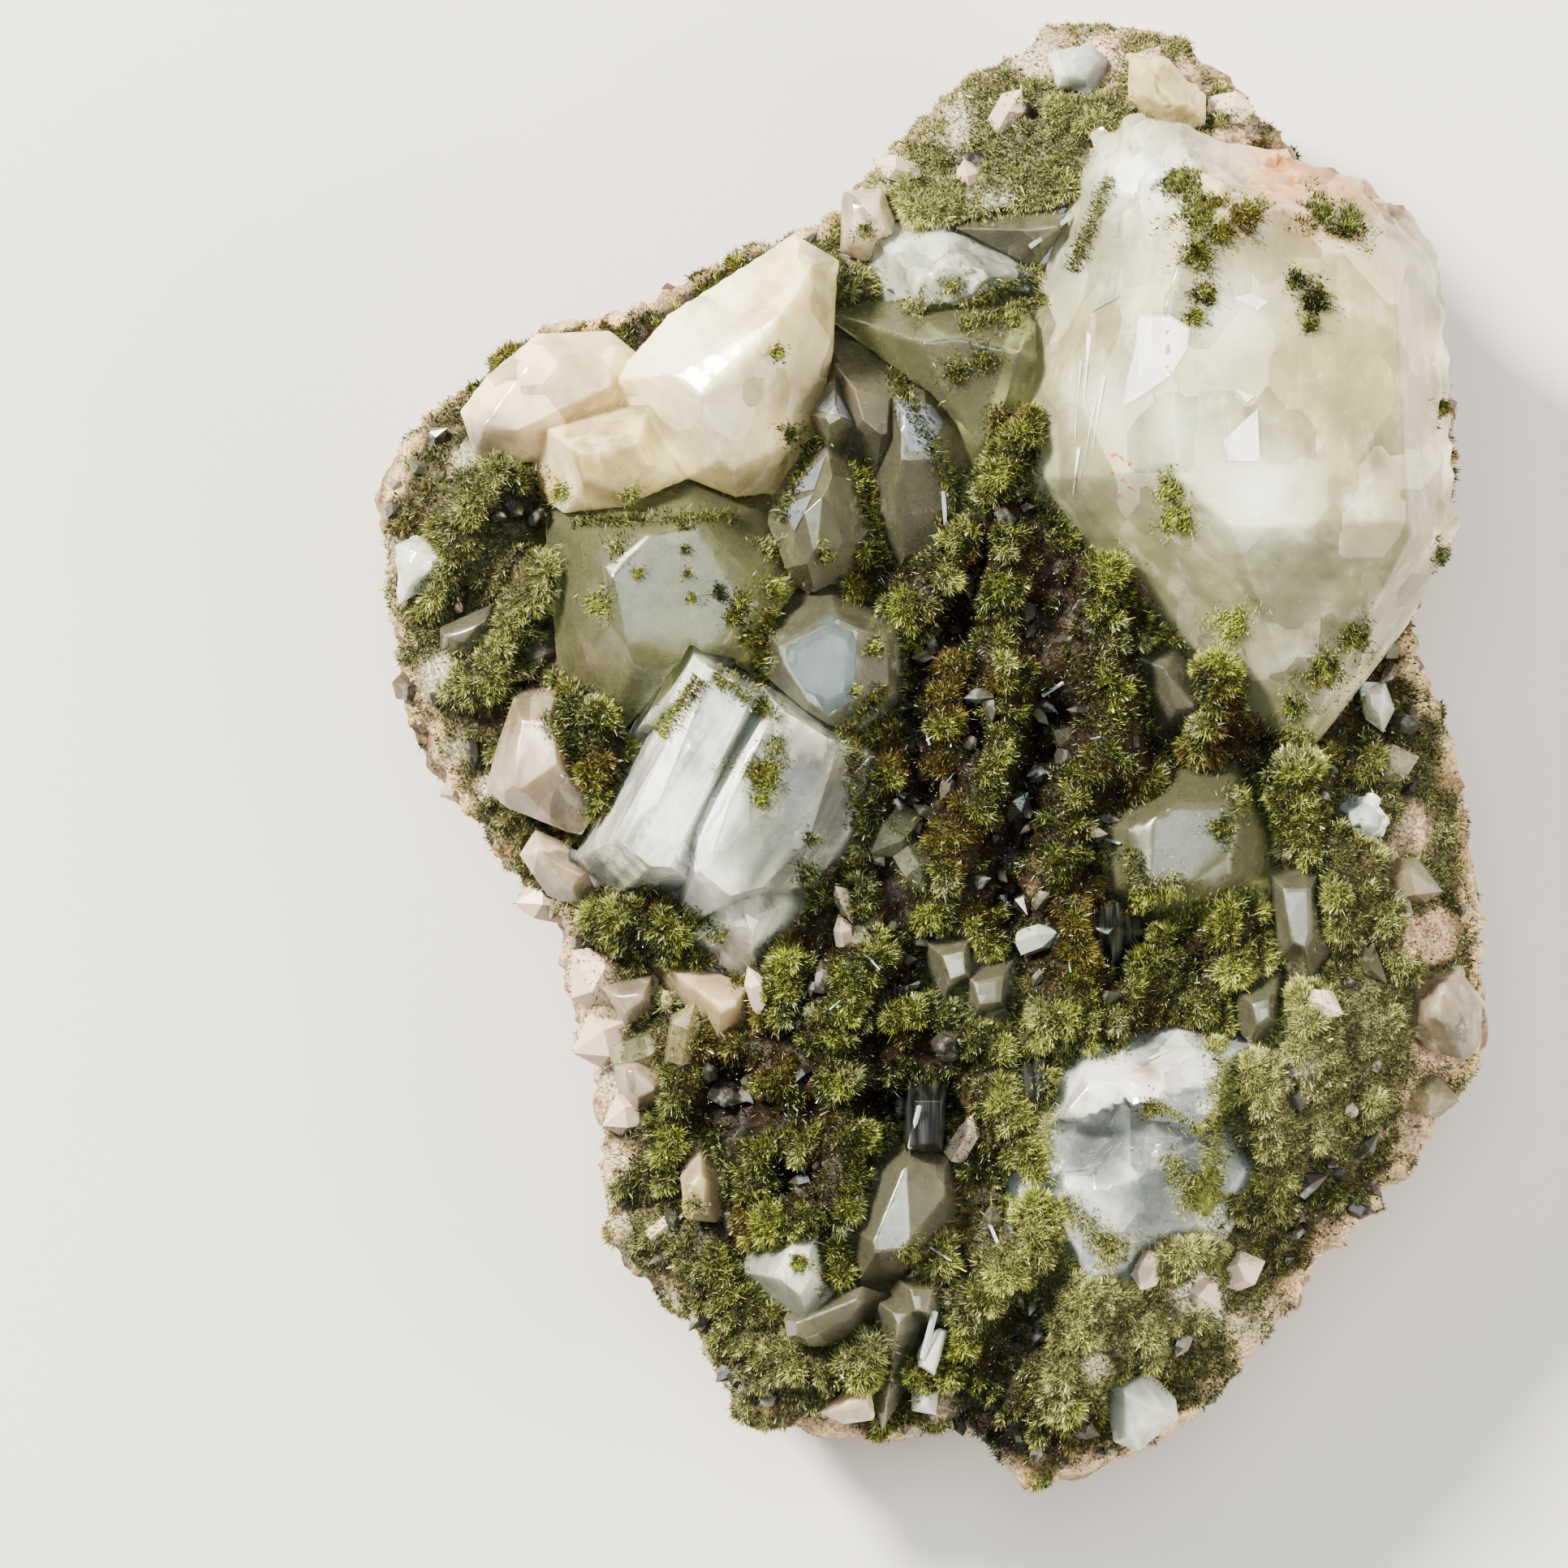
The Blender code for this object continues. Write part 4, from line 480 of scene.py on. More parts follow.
class Surface:
    """Builds one material from nodes."""

    def __init__(self, name):
        self.material = bpy.data.materials.new(name)
        self.material.use_nodes = True
        self.tree = self.material.node_tree
        self.tree.nodes.clear()
        self.output = self.tree.nodes.new("ShaderNodeOutputMaterial")

    def node(self, kind, settings=None, sockets=None):
        """A node with its settings made first, then its sockets' values or links."""
        made = self.tree.nodes.new(kind)
        for key, value in (settings or {}).items():
            setattr(made, key, value)
        for key, value in (sockets or {}).items():
            if isinstance(value, Value):
                value = value.socket
            if isinstance(value, bpy.types.NodeSocket):
                self.tree.links.new(value, made.inputs[key])
            else:
                made.inputs[key].default_value = value
        return made

    def value(self, kind, settings=None, sockets=None, output=0):
        """The output of a new node, ready for sums."""
        return Value(self, self.node(kind, settings, sockets).outputs[output])

    def place(self):
        """Object coordinates."""
        return self.node("ShaderNodeTexCoord").outputs["Object"]

    def grain(self, size, detail=3.0, stretch=(1, 1, 1), roughness=0.55):
        """Noise with lumps of the given size in metres, longer along stretched axes."""
        scale = tuple(1.0 / (size * along) for along in stretch)
        mapped = self.node("ShaderNodeMapping", None, {"Vector": self.place(), "Scale": scale})
        sockets = {"Vector": mapped.outputs[0], "Scale": 1.0, "Detail": detail, "Roughness": roughness}
        return self.value("ShaderNodeTexNoise", None, sockets)

    def facets(self, size):
        """Heights of flat faces, each tilted its own way, of the given size in metres."""
        scale = (1.0 / size,) * 3
        mapped = self.node("ShaderNodeMapping", None, {"Vector": self.place(), "Scale": scale}).outputs[0]
        cells = self.node("ShaderNodeTexVoronoi", None, {"Vector": mapped, "Scale": 1.0})
        offset = self.node("ShaderNodeVectorMath", {"operation": "SUBTRACT"},
                           {0: mapped, 1: cells.outputs["Position"]}).outputs[0]
        tilt = self.node("ShaderNodeVectorMath", {"operation": "SUBTRACT"},
                         {0: cells.outputs["Color"], 1: (0.5, 0.5, 0.5)}).outputs[0]
        return self.value("ShaderNodeVectorMath", {"operation": "DOT_PRODUCT"}, {0: offset, 1: tilt}, "Value")

    def plates(self, size):
        """A chance number from 0 to 1 for each angular patch of the given size in metres."""
        scale = (1.0 / size, 0.8 / size, 0.6 / size)
        mapped = self.node("ShaderNodeMapping", None, {"Vector": self.place(), "Scale": scale}).outputs[0]
        cells = self.node("ShaderNodeTexVoronoi", {"distance": "MANHATTAN"}, {"Vector": mapped, "Scale": 1.0})
        split = self.node("ShaderNodeSeparateColor", None, {"Color": cells.outputs["Color"]})
        return Value(self, split.outputs[0])

    def blend(self, factor, first, second):
        """A colour between two colours."""
        colours = [(*c, 1.0) if isinstance(c, tuple) and len(c) == 3 else c for c in (first, second)]
        made = self.node("ShaderNodeMix", {"data_type": "RGBA"}, {0: factor, 6: colours[0], 7: colours[1]})
        return made.outputs[2]

    def tint(self, name="tint"):
        """The colour stored on the mesh."""
        return self.node("ShaderNodeAttribute", {"attribute_name": name}).outputs["Color"]

    def stored(self, name):
        """A number stored on the mesh."""
        return self.value("ShaderNodeAttribute", {"attribute_name": name}, None, "Fac")

    def bump(self, height, strength, distance):
        """A normal for small relief."""
        sockets = {"Height": height, "Strength": strength, "Distance": distance}
        return self.node("ShaderNodeBump", None, sockets).outputs["Normal"]

    def principled(self, **sockets):
        """A Principled shader, its sockets named with underscores for spaces."""
        named = {key.replace("_", " "): value for key, value in sockets.items()}
        return self.node("ShaderNodeBsdfPrincipled", None, named).outputs["BSDF"]

    def finish(self, shader, volume=None):
        """Join the shader to the output and give back the material."""
        self.tree.links.new(shader, self.output.inputs["Surface"])
        if volume is not None:
            self.tree.links.new(volume, self.output.inputs["Volume"])
        return self.material


def rock_surface():
    """Rough rock and epidote crust: the stored tint, broken up by fine grain."""
    surface = Surface("rock_and_epidote")
    fine = surface.grain(0.00016, 4.0)
    broad = surface.grain(0.0011, 3.0)
    bare = surface.stored("bare")
    dark = surface.blend(0.60, surface.tint(), (0.010, 0.006, 0.004))
    colour = surface.blend(fine.between(0.35, 0.62), dark, surface.tint())
    colour = surface.blend(broad.between(0.58, 0.75) * 0.35, colour, (0.05, 0.05, 0.02))
    sugar = fine.between(0.60, 0.70) * broad.between(0.42, 0.60) * (0.15 + 0.6 * bare)
    colour = surface.blend(sugar, colour, (0.72, 0.72, 0.64))
    floor = 1.0 - surface.stored("grown")
    normal = surface.bump(0.5 * fine + broad + 3.0 * floor * surface.facets(0.00075), 0.8, 0.00016)
    roughness = 0.62 + 0.30 * broad - 0.34 * floor
    shader = surface.principled(Base_Color=colour, Roughness=roughness, Specular_IOR_Level=0.22,
                                Normal=normal)
    return surface.finish(shader)


def needle_surface():
    """Epidote needles: the stored tint, glossy enough to glint."""
    surface = Surface("epidote_needles")
    speck = surface.grain(0.00030, 2.0)
    colour = surface.blend(speck.between(0.35, 0.7) * 0.30, surface.tint(), (0.03, 0.03, 0.01))
    shader = surface.principled(Base_Color=colour, Roughness=0.30 + 0.3 * speck, Specular_IOR_Level=0.25)
    return surface.finish(shader)


def dark_crystal_surface():
    """Black green epidote with glossy faces."""
    surface = Surface("epidote_black")
    lines = surface.grain(0.00025, 2.0, (1, 14, 14))
    colour = surface.blend(lines.between(0.4, 0.75), (0.008, 0.010, 0.009), (0.06, 0.065, 0.06))
    normal = surface.bump(lines, 0.5, 0.00006)
    shader = surface.principled(Base_Color=colour, Roughness=0.12 + 0.25 * lines, IOR=1.74, Normal=normal)
    return surface.finish(shader)


def quartz_surface(name, settings):
    """Quartz that is milky in clouds and veils, and clear between them."""
    stone = STONES[name]
    surface = Surface("quartz_" + name)
    clouds = surface.grain(0.0036, 3.0, (1.0, 1.4, 1.0))
    wisps = surface.grain(0.0013, 3.0, (1.0, 1.6, 1.0), 0.6)
    dust = surface.grain(0.00014, 2.0)
    lines = surface.grain(0.0004, 2.0, (1.0, 9.0, 4.0))
    tint = surface.tint()
    shaded = surface.blend(0.42, tint, (0.09, 0.105, 0.055))
    pale = surface.blend(min(0.5, 1.2 * sum(stone.milk) / 3.0), tint, (0.96, 0.95, 0.86))
    colour = surface.blend(clouds.between(0.30, 0.62), shaded, tint)
    colour = surface.blend(wisps.between(0.52, 0.72) * stone.share, colour, pale)
    colour = surface.blend(lines.between(0.62, 0.74) * (0.5 * stone.share), colour, pale)
    colour = surface.blend(dust.between(0.69, 0.77) * (0.7 * stone.share), colour, (0.95, 0.96, 0.93))
    plates = surface.plates(0.0026)
    colour = surface.blend(plates.between(0.72, 0.80) * (0.55 * stone.share), colour, pale)
    colour = surface.blend(plates.between(0.30, 0.22) * 0.35, colour, shaded)
    green = surface.grain(0.0017, 4.0, (1.0, 1.3, 1.0), 0.72)
    colour = surface.blend(green.between(0.55, 0.68) * stone.inclusions, colour, (0.085, 0.095, 0.028))
    uneven = surface.bump(wisps, 0.12, 0.00006)
    roughness = stone.rough + 0.16 * wisps.between(0.45, 0.75) + 0.15 * dust.between(0.66, 0.76)
    milkiness = stone.share + 0.30 * (plates - 0.5) + 0.45 * (clouds - 0.5) + 0.55 * (wisps - 0.5) + 1.2 * surface.stored("milk")
    glassy = surface.principled(Base_Color=(*stone.clear, 1.0), Roughness=roughness, IOR=settings.refraction,
                                Transmission_Weight=settings.clear_share, Normal=uneven)
    cloudy = surface.principled(Base_Color=colour, Roughness=roughness + 0.05, IOR=settings.refraction,
                                Transmission_Weight=settings.milk_share, Normal=uneven,
                                Subsurface_Weight=0.6, Subsurface_Radius=(1.0, 0.95, 0.7),
                                Subsurface_Scale=0.0013, Coat_Weight=0.2, Coat_Roughness=0.06)
    mixed = surface.node("ShaderNodeMixShader", None, {0: milkiness.between(0.1, 0.9), 1: glassy, 2: cloudy})
    sockets = {"Color": (*stone.clear, 1.0), "Density": stone.absorption}
    volume = surface.node("ShaderNodeVolumeAbsorption", None, sockets)
    return surface.finish(mixed.outputs[0], volume.outputs[0])


def floor_surface(colour):
    """A plain pale floor."""
    surface = Surface("pale_floor")
    return surface.finish(surface.principled(Base_Color=(*colour, 1.0), Roughness=0.8))


def select_only(piece):
    """Make this the only selected object, and the active one."""
    bpy.ops.object.select_all(action="DESELECT")
    piece.select_set(True)
    bpy.context.view_layer.objects.active = piece


def copy_of(node, name):
    """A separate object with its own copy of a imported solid's mesh, its doubles merged."""
    piece = bpy.data.objects.new(name, frame["nodes"][node].data.copy())
    bpy.context.scene.collection.objects.link(piece)
    select_only(piece)
    bpy.ops.object.mode_set(mode="EDIT")
    bpy.ops.mesh.select_all(action="SELECT")
    bpy.ops.mesh.remove_doubles(threshold=0.000004)
    bpy.ops.object.mode_set(mode="OBJECT")
    return piece


def apply_all(piece):
    """Apply the modifiers by hand, in order."""
    select_only(piece)
    for modifier in list(piece.modifiers):
        bpy.ops.object.modifier_apply(modifier=modifier.name)


def dress(piece, surface, slot, *nodes):
    """Give a piece its surface and its body, and hide the nodes that it stands for; the slot is not used."""
    piece.data.materials.clear()
    piece.data.materials.append(surface)
    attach(piece, "root")
    if nodes:
        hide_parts(*nodes)
    return piece


def read(piece, key="co"):
    """The points or normals of a mesh as rows."""
    flat = np.empty(len(piece.data.vertices) * 3)
    piece.data.vertices.foreach_get(key, flat)
    return flat.reshape(-1, 3)


def write(piece, points):
    """Put the rows back as the mesh's points."""
    piece.data.vertices.foreach_set("co", points.ravel())
    piece.data.update()


def store(piece, name, rows):
    """Store a colour or a number on each point."""
    kind = "FLOAT" if rows.ndim == 1 else "FLOAT_COLOR"
    made = piece.data.attributes.new(name, kind, "POINT")
    if rows.ndim == 1:
        made.data.foreach_set("value", rows.astype(np.float32))
    else:
        full = np.column_stack((rows, np.ones(len(rows))))
        made.data.foreach_set("color", full.astype(np.float32).ravel())


def recall(piece, name):
    """What store kept on each point."""
    kept = piece.data.attributes[name]
    if kept.data_type == "FLOAT":
        flat = np.empty(len(kept.data), np.float32)
        kept.data.foreach_get("value", flat)
        return flat
    flat = np.empty(len(kept.data) * 4, np.float32)
    kept.data.foreach_get("color", flat)
    return flat.reshape(-1, 4)[:, :3]


def lumps(points, size, seed=0):
    """Smooth noise from -1 to 1 at each row, with lumps of the given size in metres."""
    shift = Vector((seed * 5.1, seed * 2.3, seed * 7.7))
    return np.array([noise.noise(Vector(row) + shift) for row in points / size])


def beads(points, size, seed=0):
    """1 at the middle of each bead and 0 at its edge, for beads of the given size."""
    shift = Vector((seed * 3.3, seed * 1.9, seed * 6.1))
    nearest = [noise.voronoi(Vector(row) + shift)[0][0] for row in points / size]
    return np.clip(1.0 - 1.6 * np.array(nearest), 0.0, 1.0)


def chips(points, size, seed=0):
    """Heights of flat broken faces of the given size, each tilted its own way, from about -0.5 to 0.5."""
    shift = Vector((seed * 4.7, seed * 2.9, seed * 8.3))
    half = Vector((0.5, 0.5, 0.5))
    heights = []
    for row in points / size:
        spot = Vector(row) + shift
        middle = noise.voronoi(spot)[1][0]
        heights.append((spot - middle).dot(noise.cell_vector(middle * 17.0) - half))
    return np.array(heights)


def smooth_step(rows, low, high):
    """0 below low, 1 above high, smooth between."""
    share = np.clip((rows - low) / (high - low), 0.0, 1.0)
    return share * share * (3.0 - 2.0 * share)


def relaxed(piece, rounds, points=None):
    """The points after each has moved to the middle of its neighbours, rounds times."""
    points = read(piece) if points is None else points
    ends = np.empty(len(piece.data.edges) * 2, int)
    piece.data.edges.foreach_get("vertices", ends)
    first, second = ends.reshape(-1, 2).T
    count = np.bincount(first, minlength=len(points)) + np.bincount(second, minlength=len(points))
    for _ in range(rounds):
        total = np.column_stack([
            np.bincount(first, points[second, axis], len(points))
            + np.bincount(second, points[first, axis], len(points)) for axis in range(3)])
        points = 0.5 * points + 0.5 * total / count[:, None]
    return points


def mixed(first, second, share):
    """Colours between two colours, one row for each share."""
    return np.asarray(first) * (1 - share[:, None]) + np.asarray(second) * share[:, None]


def rim_distance(points):
    """How far each point lies inside the outline seen from above, in mm."""
    turns = np.arctan2(points[:, 1], points[:, 0])
    reach = np.hypot(points[:, 0], points[:, 1]) / MM
    sector = np.floor((turns / math.tau + 0.5) * 119.999).astype(int)
    outline = np.zeros(120)
    np.maximum.at(outline, sector, reach)
    middles = (np.arange(120) + 0.5) / 120
    return np.interp(turns / math.tau + 0.5, middles, outline, period=1.0) - reach


def crystal_tree(*others):
    """A search tree of every crystal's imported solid, and of other nodes' solids."""
    points, faces = [], []
    for name in tuple(CRYSTALS) + others:
        mesh = frame["nodes"][name].data
        start = len(points)
        points.extend(vertex.co.copy() for vertex in mesh.vertices)
        faces.extend([start + index for index in face.vertices] for face in mesh.polygons)
    return BVHTree.FromPolygons(points, faces)


def zoned(points, base, zones):
    """A colour for each point: the base, blended towards each zone's colour around its middle."""
    tint = np.tile(np.asarray(base, float), (len(points), 1))
    for x, y, radius, colour, strength in zones:
        away = np.hypot(points[:, 0] / MM - x, points[:, 1] / MM - y) / radius
        share = strength * np.exp(-away ** 2)
        tint += (np.asarray(colour) - tint) * share[:, None]
    return tint


def mesh_of(name, points, triangles, tints, flat=False):
    """A mesh object from rows of points and triangles, with a tint on each point."""
    mesh = bpy.data.meshes.new(name)
    mesh.vertices.add(len(points))
    mesh.vertices.foreach_set("co", points.astype(np.float32).ravel())
    mesh.loops.add(len(triangles) * 3)
    mesh.loops.foreach_set("vertex_index", triangles.astype(np.int32).ravel())
    mesh.polygons.add(len(triangles))
    mesh.polygons.foreach_set("loop_start", np.arange(0, len(triangles) * 3, 3, dtype=np.int32))
    mesh.update(calc_edges=True)
    if flat:
        mesh.shade_flat()
    piece = bpy.data.objects.new(name, mesh)
    bpy.context.scene.collection.objects.link(piece)
    store(piece, "tint", tints)
    return piece


def prism_form(sides, shoulder, shoulder_width, point):
    """A unit crystal along +Z: a ring at the foot, a ring at the shoulder and a tip."""
    angles = [math.tau * step / sides for step in range(sides)]
    foot = [(math.cos(a), math.sin(a), -0.12) for a in angles]
    top = [(shoulder_width * math.cos(a), shoulder_width * math.sin(a), shoulder) for a in angles]
    points = np.array(foot + top + [(0.0, 0.0, point)])
    faces = [(0, step + 1, step) for step in range(1, sides - 1)]
    for step in range(sides):
        after = (step + 1) % sides
        faces += [(step, after, sides + after), (step, sides + after, sides + step)]
        faces.append((sides + step, sides + after, 2 * sides))
    return points, np.array(faces)


def needle_form(end=0.0):
    """A unit blade along +Z for a needle thinner than a hair, with an end of the given width."""
    corners = [(-1.0, 0.0, -0.15), (1.0, 0.0, -0.15), (end, 0.0, 1.0)]
    if end == 0.0:
        return np.array(corners), np.array([(0, 1, 2)])
    return np.array(corners + [(-end, 0.0, 1.0)]), np.array([(0, 1, 2), (0, 2, 3)])


def scatter(name, form, roots, axes, widths, lengths, tints, rng, foot_shade_tip_light=(0.24, 1.60), skew=0.0):
    """One mesh of many small crystals: a copy of the form at each root, along each axis.

    A skew moves the tips sideways and gives flat faces."""
    shape, faces = form
    axes = axes / np.linalg.norm(axes, axis=1)[:, None]
    helper = rng.normal(size=axes.shape)
    side = np.cross(axes, helper)
    side /= np.linalg.norm(side, axis=1)[:, None]
    other = np.cross(axes, side)
    local = shape[None, :, :] * np.column_stack((widths, widths, lengths))[:, None, :]
    local[:, -1, :2] += rng.uniform(-skew, skew, (len(roots), 2)) * widths[:, None]
    points = (roots[:, None, :] + local[:, :, 0:1] * side[:, None, :] + local[:, :, 1:2] * other[:, None, :]
              + local[:, :, 2:3] * axes[:, None, :]).reshape(-1, 3)
    starts = np.arange(len(roots)) * len(shape)
    triangles = (faces[None, :, :] + starts[:, None, None]).reshape(-1, 3)
    # Painted shade at the foot of each copy and a painted highlight at its tip: the tint runs darker to lighter along
    # it
    rise = np.clip(shape[:, 2], 0.0, 1.0)
    shade = foot_shade_tip_light[0] + (foot_shade_tip_light[1] - foot_shade_tip_light[0]) * rise
    colours = (tints[:, None, :] * shade[None, :, None]).reshape(-1, 3)
    return mesh_of(name, points, triangles, np.clip(colours, 0.0, 1.0), skew > 0.0)


def sampled(piece, density, rng, *kept):
    """Random places on a mesh, density to the square millimetre at each of its points."""
    mesh = piece.data
    mesh.calc_loop_triangles()
    corners = np.empty(len(mesh.loop_triangles) * 3, int)
    mesh.loop_triangles.foreach_get("vertices", corners)
    corners = corners.reshape(-1, 3)
    points, normals = read(piece), read(piece, "normal")
    a, b, c = (points[corners[:, step]] for step in range(3))
    area = 0.5 * np.linalg.norm(np.cross(b - a, c - a), axis=1) / MM ** 2
    counts = rng.poisson(area * density[corners].mean(axis=1))
    chosen = np.repeat(np.arange(len(corners)), counts)
    shares = rng.dirichlet((1, 1, 1), len(chosen))
    out = []
    for rows in (points, normals) + kept:
        rows = rows if rows.ndim == 2 else rows[:, None]
        out.append((rows[corners[chosen]] * shares[:, :, None]).sum(axis=1))
    return out


class SPECIMEN_OT_rock(Operator):
    """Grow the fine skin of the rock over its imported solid"""

    bl_idname = "specimen.rock"
    bl_label = "Rock and crust"

    def execute(self, context):
        settings = context.scene.epidote
        rock = copy_of(MATRIX_NODE, ROCK)
        remesh = rock.modifiers.new("skin", "REMESH")
        remesh.mode = "VOXEL"
        remesh.voxel_size = settings.skin_grain
        apply_all(rock)
        soft = relaxed(rock, 3)
        flat = np.abs(read(rock)[:, 2]) < 0.0001
        soft[flat, 2] = 0.0
        write(rock, soft)
        normals = read(rock, "normal")
        top = smooth_step(normals[:, 2], -0.2, 0.4)
        flattened = soft * (1.0, 1.0, 0.35)
        swell = 0.00018 + 0.00014 * lumps(soft, 0.0016, 1)
        swell += (0.00042 * top + 0.00006) * beads(flattened, 0.0009, 2)
        swell += (0.00014 * top + 0.00004) * beads(soft, 0.00042, 14)
        wall = (1.0 - smooth_step(rim_distance(soft), 1.5, 4.0)) * (1.0 - smooth_step(normals[:, 2], 0.3, 0.8))
        swell += 0.00085 * wall * (chips(soft, 0.0032, 23) + 0.5 * chips(soft, 0.0014, 24))
        tree = crystal_tree()
        away = np.array([tree.find_nearest(Vector(row), 0.0009)[3] or 0.0009 for row in soft]) / MM
        swell *= 0.15 + 0.85 * smooth_step(away, 0.05, 0.8)
        points = soft + normals * swell[:, None]
        points[:, 2] = np.maximum(points[:, 2], 0.0)
        points[flat, 2] = 0.0
        write(rock, points)
        self.colour(rock)
        rock.data.shade_smooth()
        dress(rock, rock_surface(), "epidote_crust", MATRIX_NODE)
        return {"FINISHED"}

    def colour(self, rock):
        """Store how far each point stands proud, whether a crystal covers it, and its tint, with painted shade in the
        recesses.
        """
        points, normals = read(rock), read(rock, "normal")
        broad = relaxed(rock, 26)
        crest = ((points - broad) * normals).sum(axis=1) / MM
        tuft = ((points - relaxed(rock, 5)) * normals).sum(axis=1) / MM
        write(rock, relaxed(rock, 150, broad))
        level = read(rock, "normal")[:, 2]
        write(rock, points)
        tree = crystal_tree()
        up = Vector((0.0, 0.0, 1.0))
        covered = np.zeros(len(points))
        for index, row in enumerate(points):
            spot = Vector(row)
            if tree.find_nearest(spot, 0.00020)[0] is not None or tree.ray_cast(spot, up, 0.02)[0] is not None:
                covered[index] = 1.0
        patches = lumps(points, 0.0042, 4)
        small = lumps(points, 0.0011, 5)
        top = smooth_step(level + 0.12 * small, 0.42, 0.72) * smooth_step(points[:, 2] / MM, 4.5, 7.5)
        inside = smooth_step(rim_distance(points) + 0.8 * small + 0.6 * patches, 0.5, 1.4)
        top = np.maximum(top, inside * smooth_step(points[:, 2] / MM, 5.0, 8.0))
        stained = smooth_step(patches + 0.6 * small, -0.15, 0.35)
        bands = lumps(points * (1.0, 1.0, 3.0), 0.0046, 25)
        wall = mixed(WALL_TAN, WALL_GREY, smooth_step(small + 0.8 * bands, -0.35, 0.35))
        wall += (np.asarray(WALL_BROWN) - wall) * (0.75 * smooth_step(bands - 0.5 * small, 0.12, 0.45))[:, None]
        stained *= 0.8 - 0.5 * smooth_step(points[:, 2] / MM, 4.0, 8.0)
        wall = wall * (1 - 0.55 * stained[:, None]) + np.asarray(OLIVE) * 0.55 * stained[:, None]
        wall *= (1.0 + 0.35 * smooth_step(points[:, 2] / MM, 4.5, 8.0))[:, None]
        creeping = smooth_step(lumps(points, 0.0034, 27) + 0.5 * small, 0.22, 0.55)
        creeping *= smooth_step(points[:, 2] / MM, 1.0, 4.0) * (1.0 - top)
        wall += (np.asarray(OLIVE) * 0.8 - wall) * (0.7 * creeping)[:, None]
        bright = brightness(points)
        # Darkest low between the ridges and lightest on their crests: partly the dark rock under the crust, partly
        # painted shade
        grown = smooth_step(crest + 0.4 * bright, 0.0, 0.50)
        grown *= 0.35 + 0.65 * smooth_step(tuft + 0.03 * bright, -0.02, 0.08)
        floor = mixed(RECESS_SHADE, (0.038, 0.027, 0.017), smooth_step(patches - small, -0.1, 0.5))
        moss = floor + (np.asarray(OLIVE) * 0.75 - floor) * grown[:, None]
        moss = moss + (np.asarray(BROWN) * 0.35 - moss) * (0.6 * smooth_step(small, 0.0, 0.5))[:, None]
        # Partly painted sunlight: the crust pales towards the sunlit colour in the pale spots
        moss = moss + (np.asarray(SUNLIT) * 0.55 - moss) * (0.8 * sunlit_paleness(points))[:, None]
        tint = wall + (moss - wall) * top[:, None]
        ragged = points + 0.0006 * np.column_stack((small, lumps(points, 0.0011, 15), small))
        shown = zoned(ragged, (0.0,), [row[:3] + ((1.0,), row[4]) for row in BARE])[:, 0]
        stone = zoned(ragged, WALL_TAN, [row[:4] + (1.0,) for row in BARE])
        bare = smooth_step(shown + 0.25 * small - 0.35 * np.maximum(crest, 0.0), 0.25, 0.60)
        tint += (stone - tint) * (0.9 * bare)[:, None]
        tint *= (1.0 + 0.25 * small)[:, None]
        store(rock, "crest", crest)
        store(rock, "tuft", tuft)
        store(rock, "covered", covered)
        store(rock, "bare", bare)
        store(rock, "grown", grown * top * (1.0 - bare))
        store(rock, "mossy", np.maximum(top * (1.0 - 0.93 * bare), 0.5 * creeping))
        store(rock, "wall", (1.0 - top) * (1.0 - creeping) * smooth_step(points[:, 2] / MM, 1.0, 2.0))
        store(rock, "tint", np.clip(tint, 0.0, 1.0))


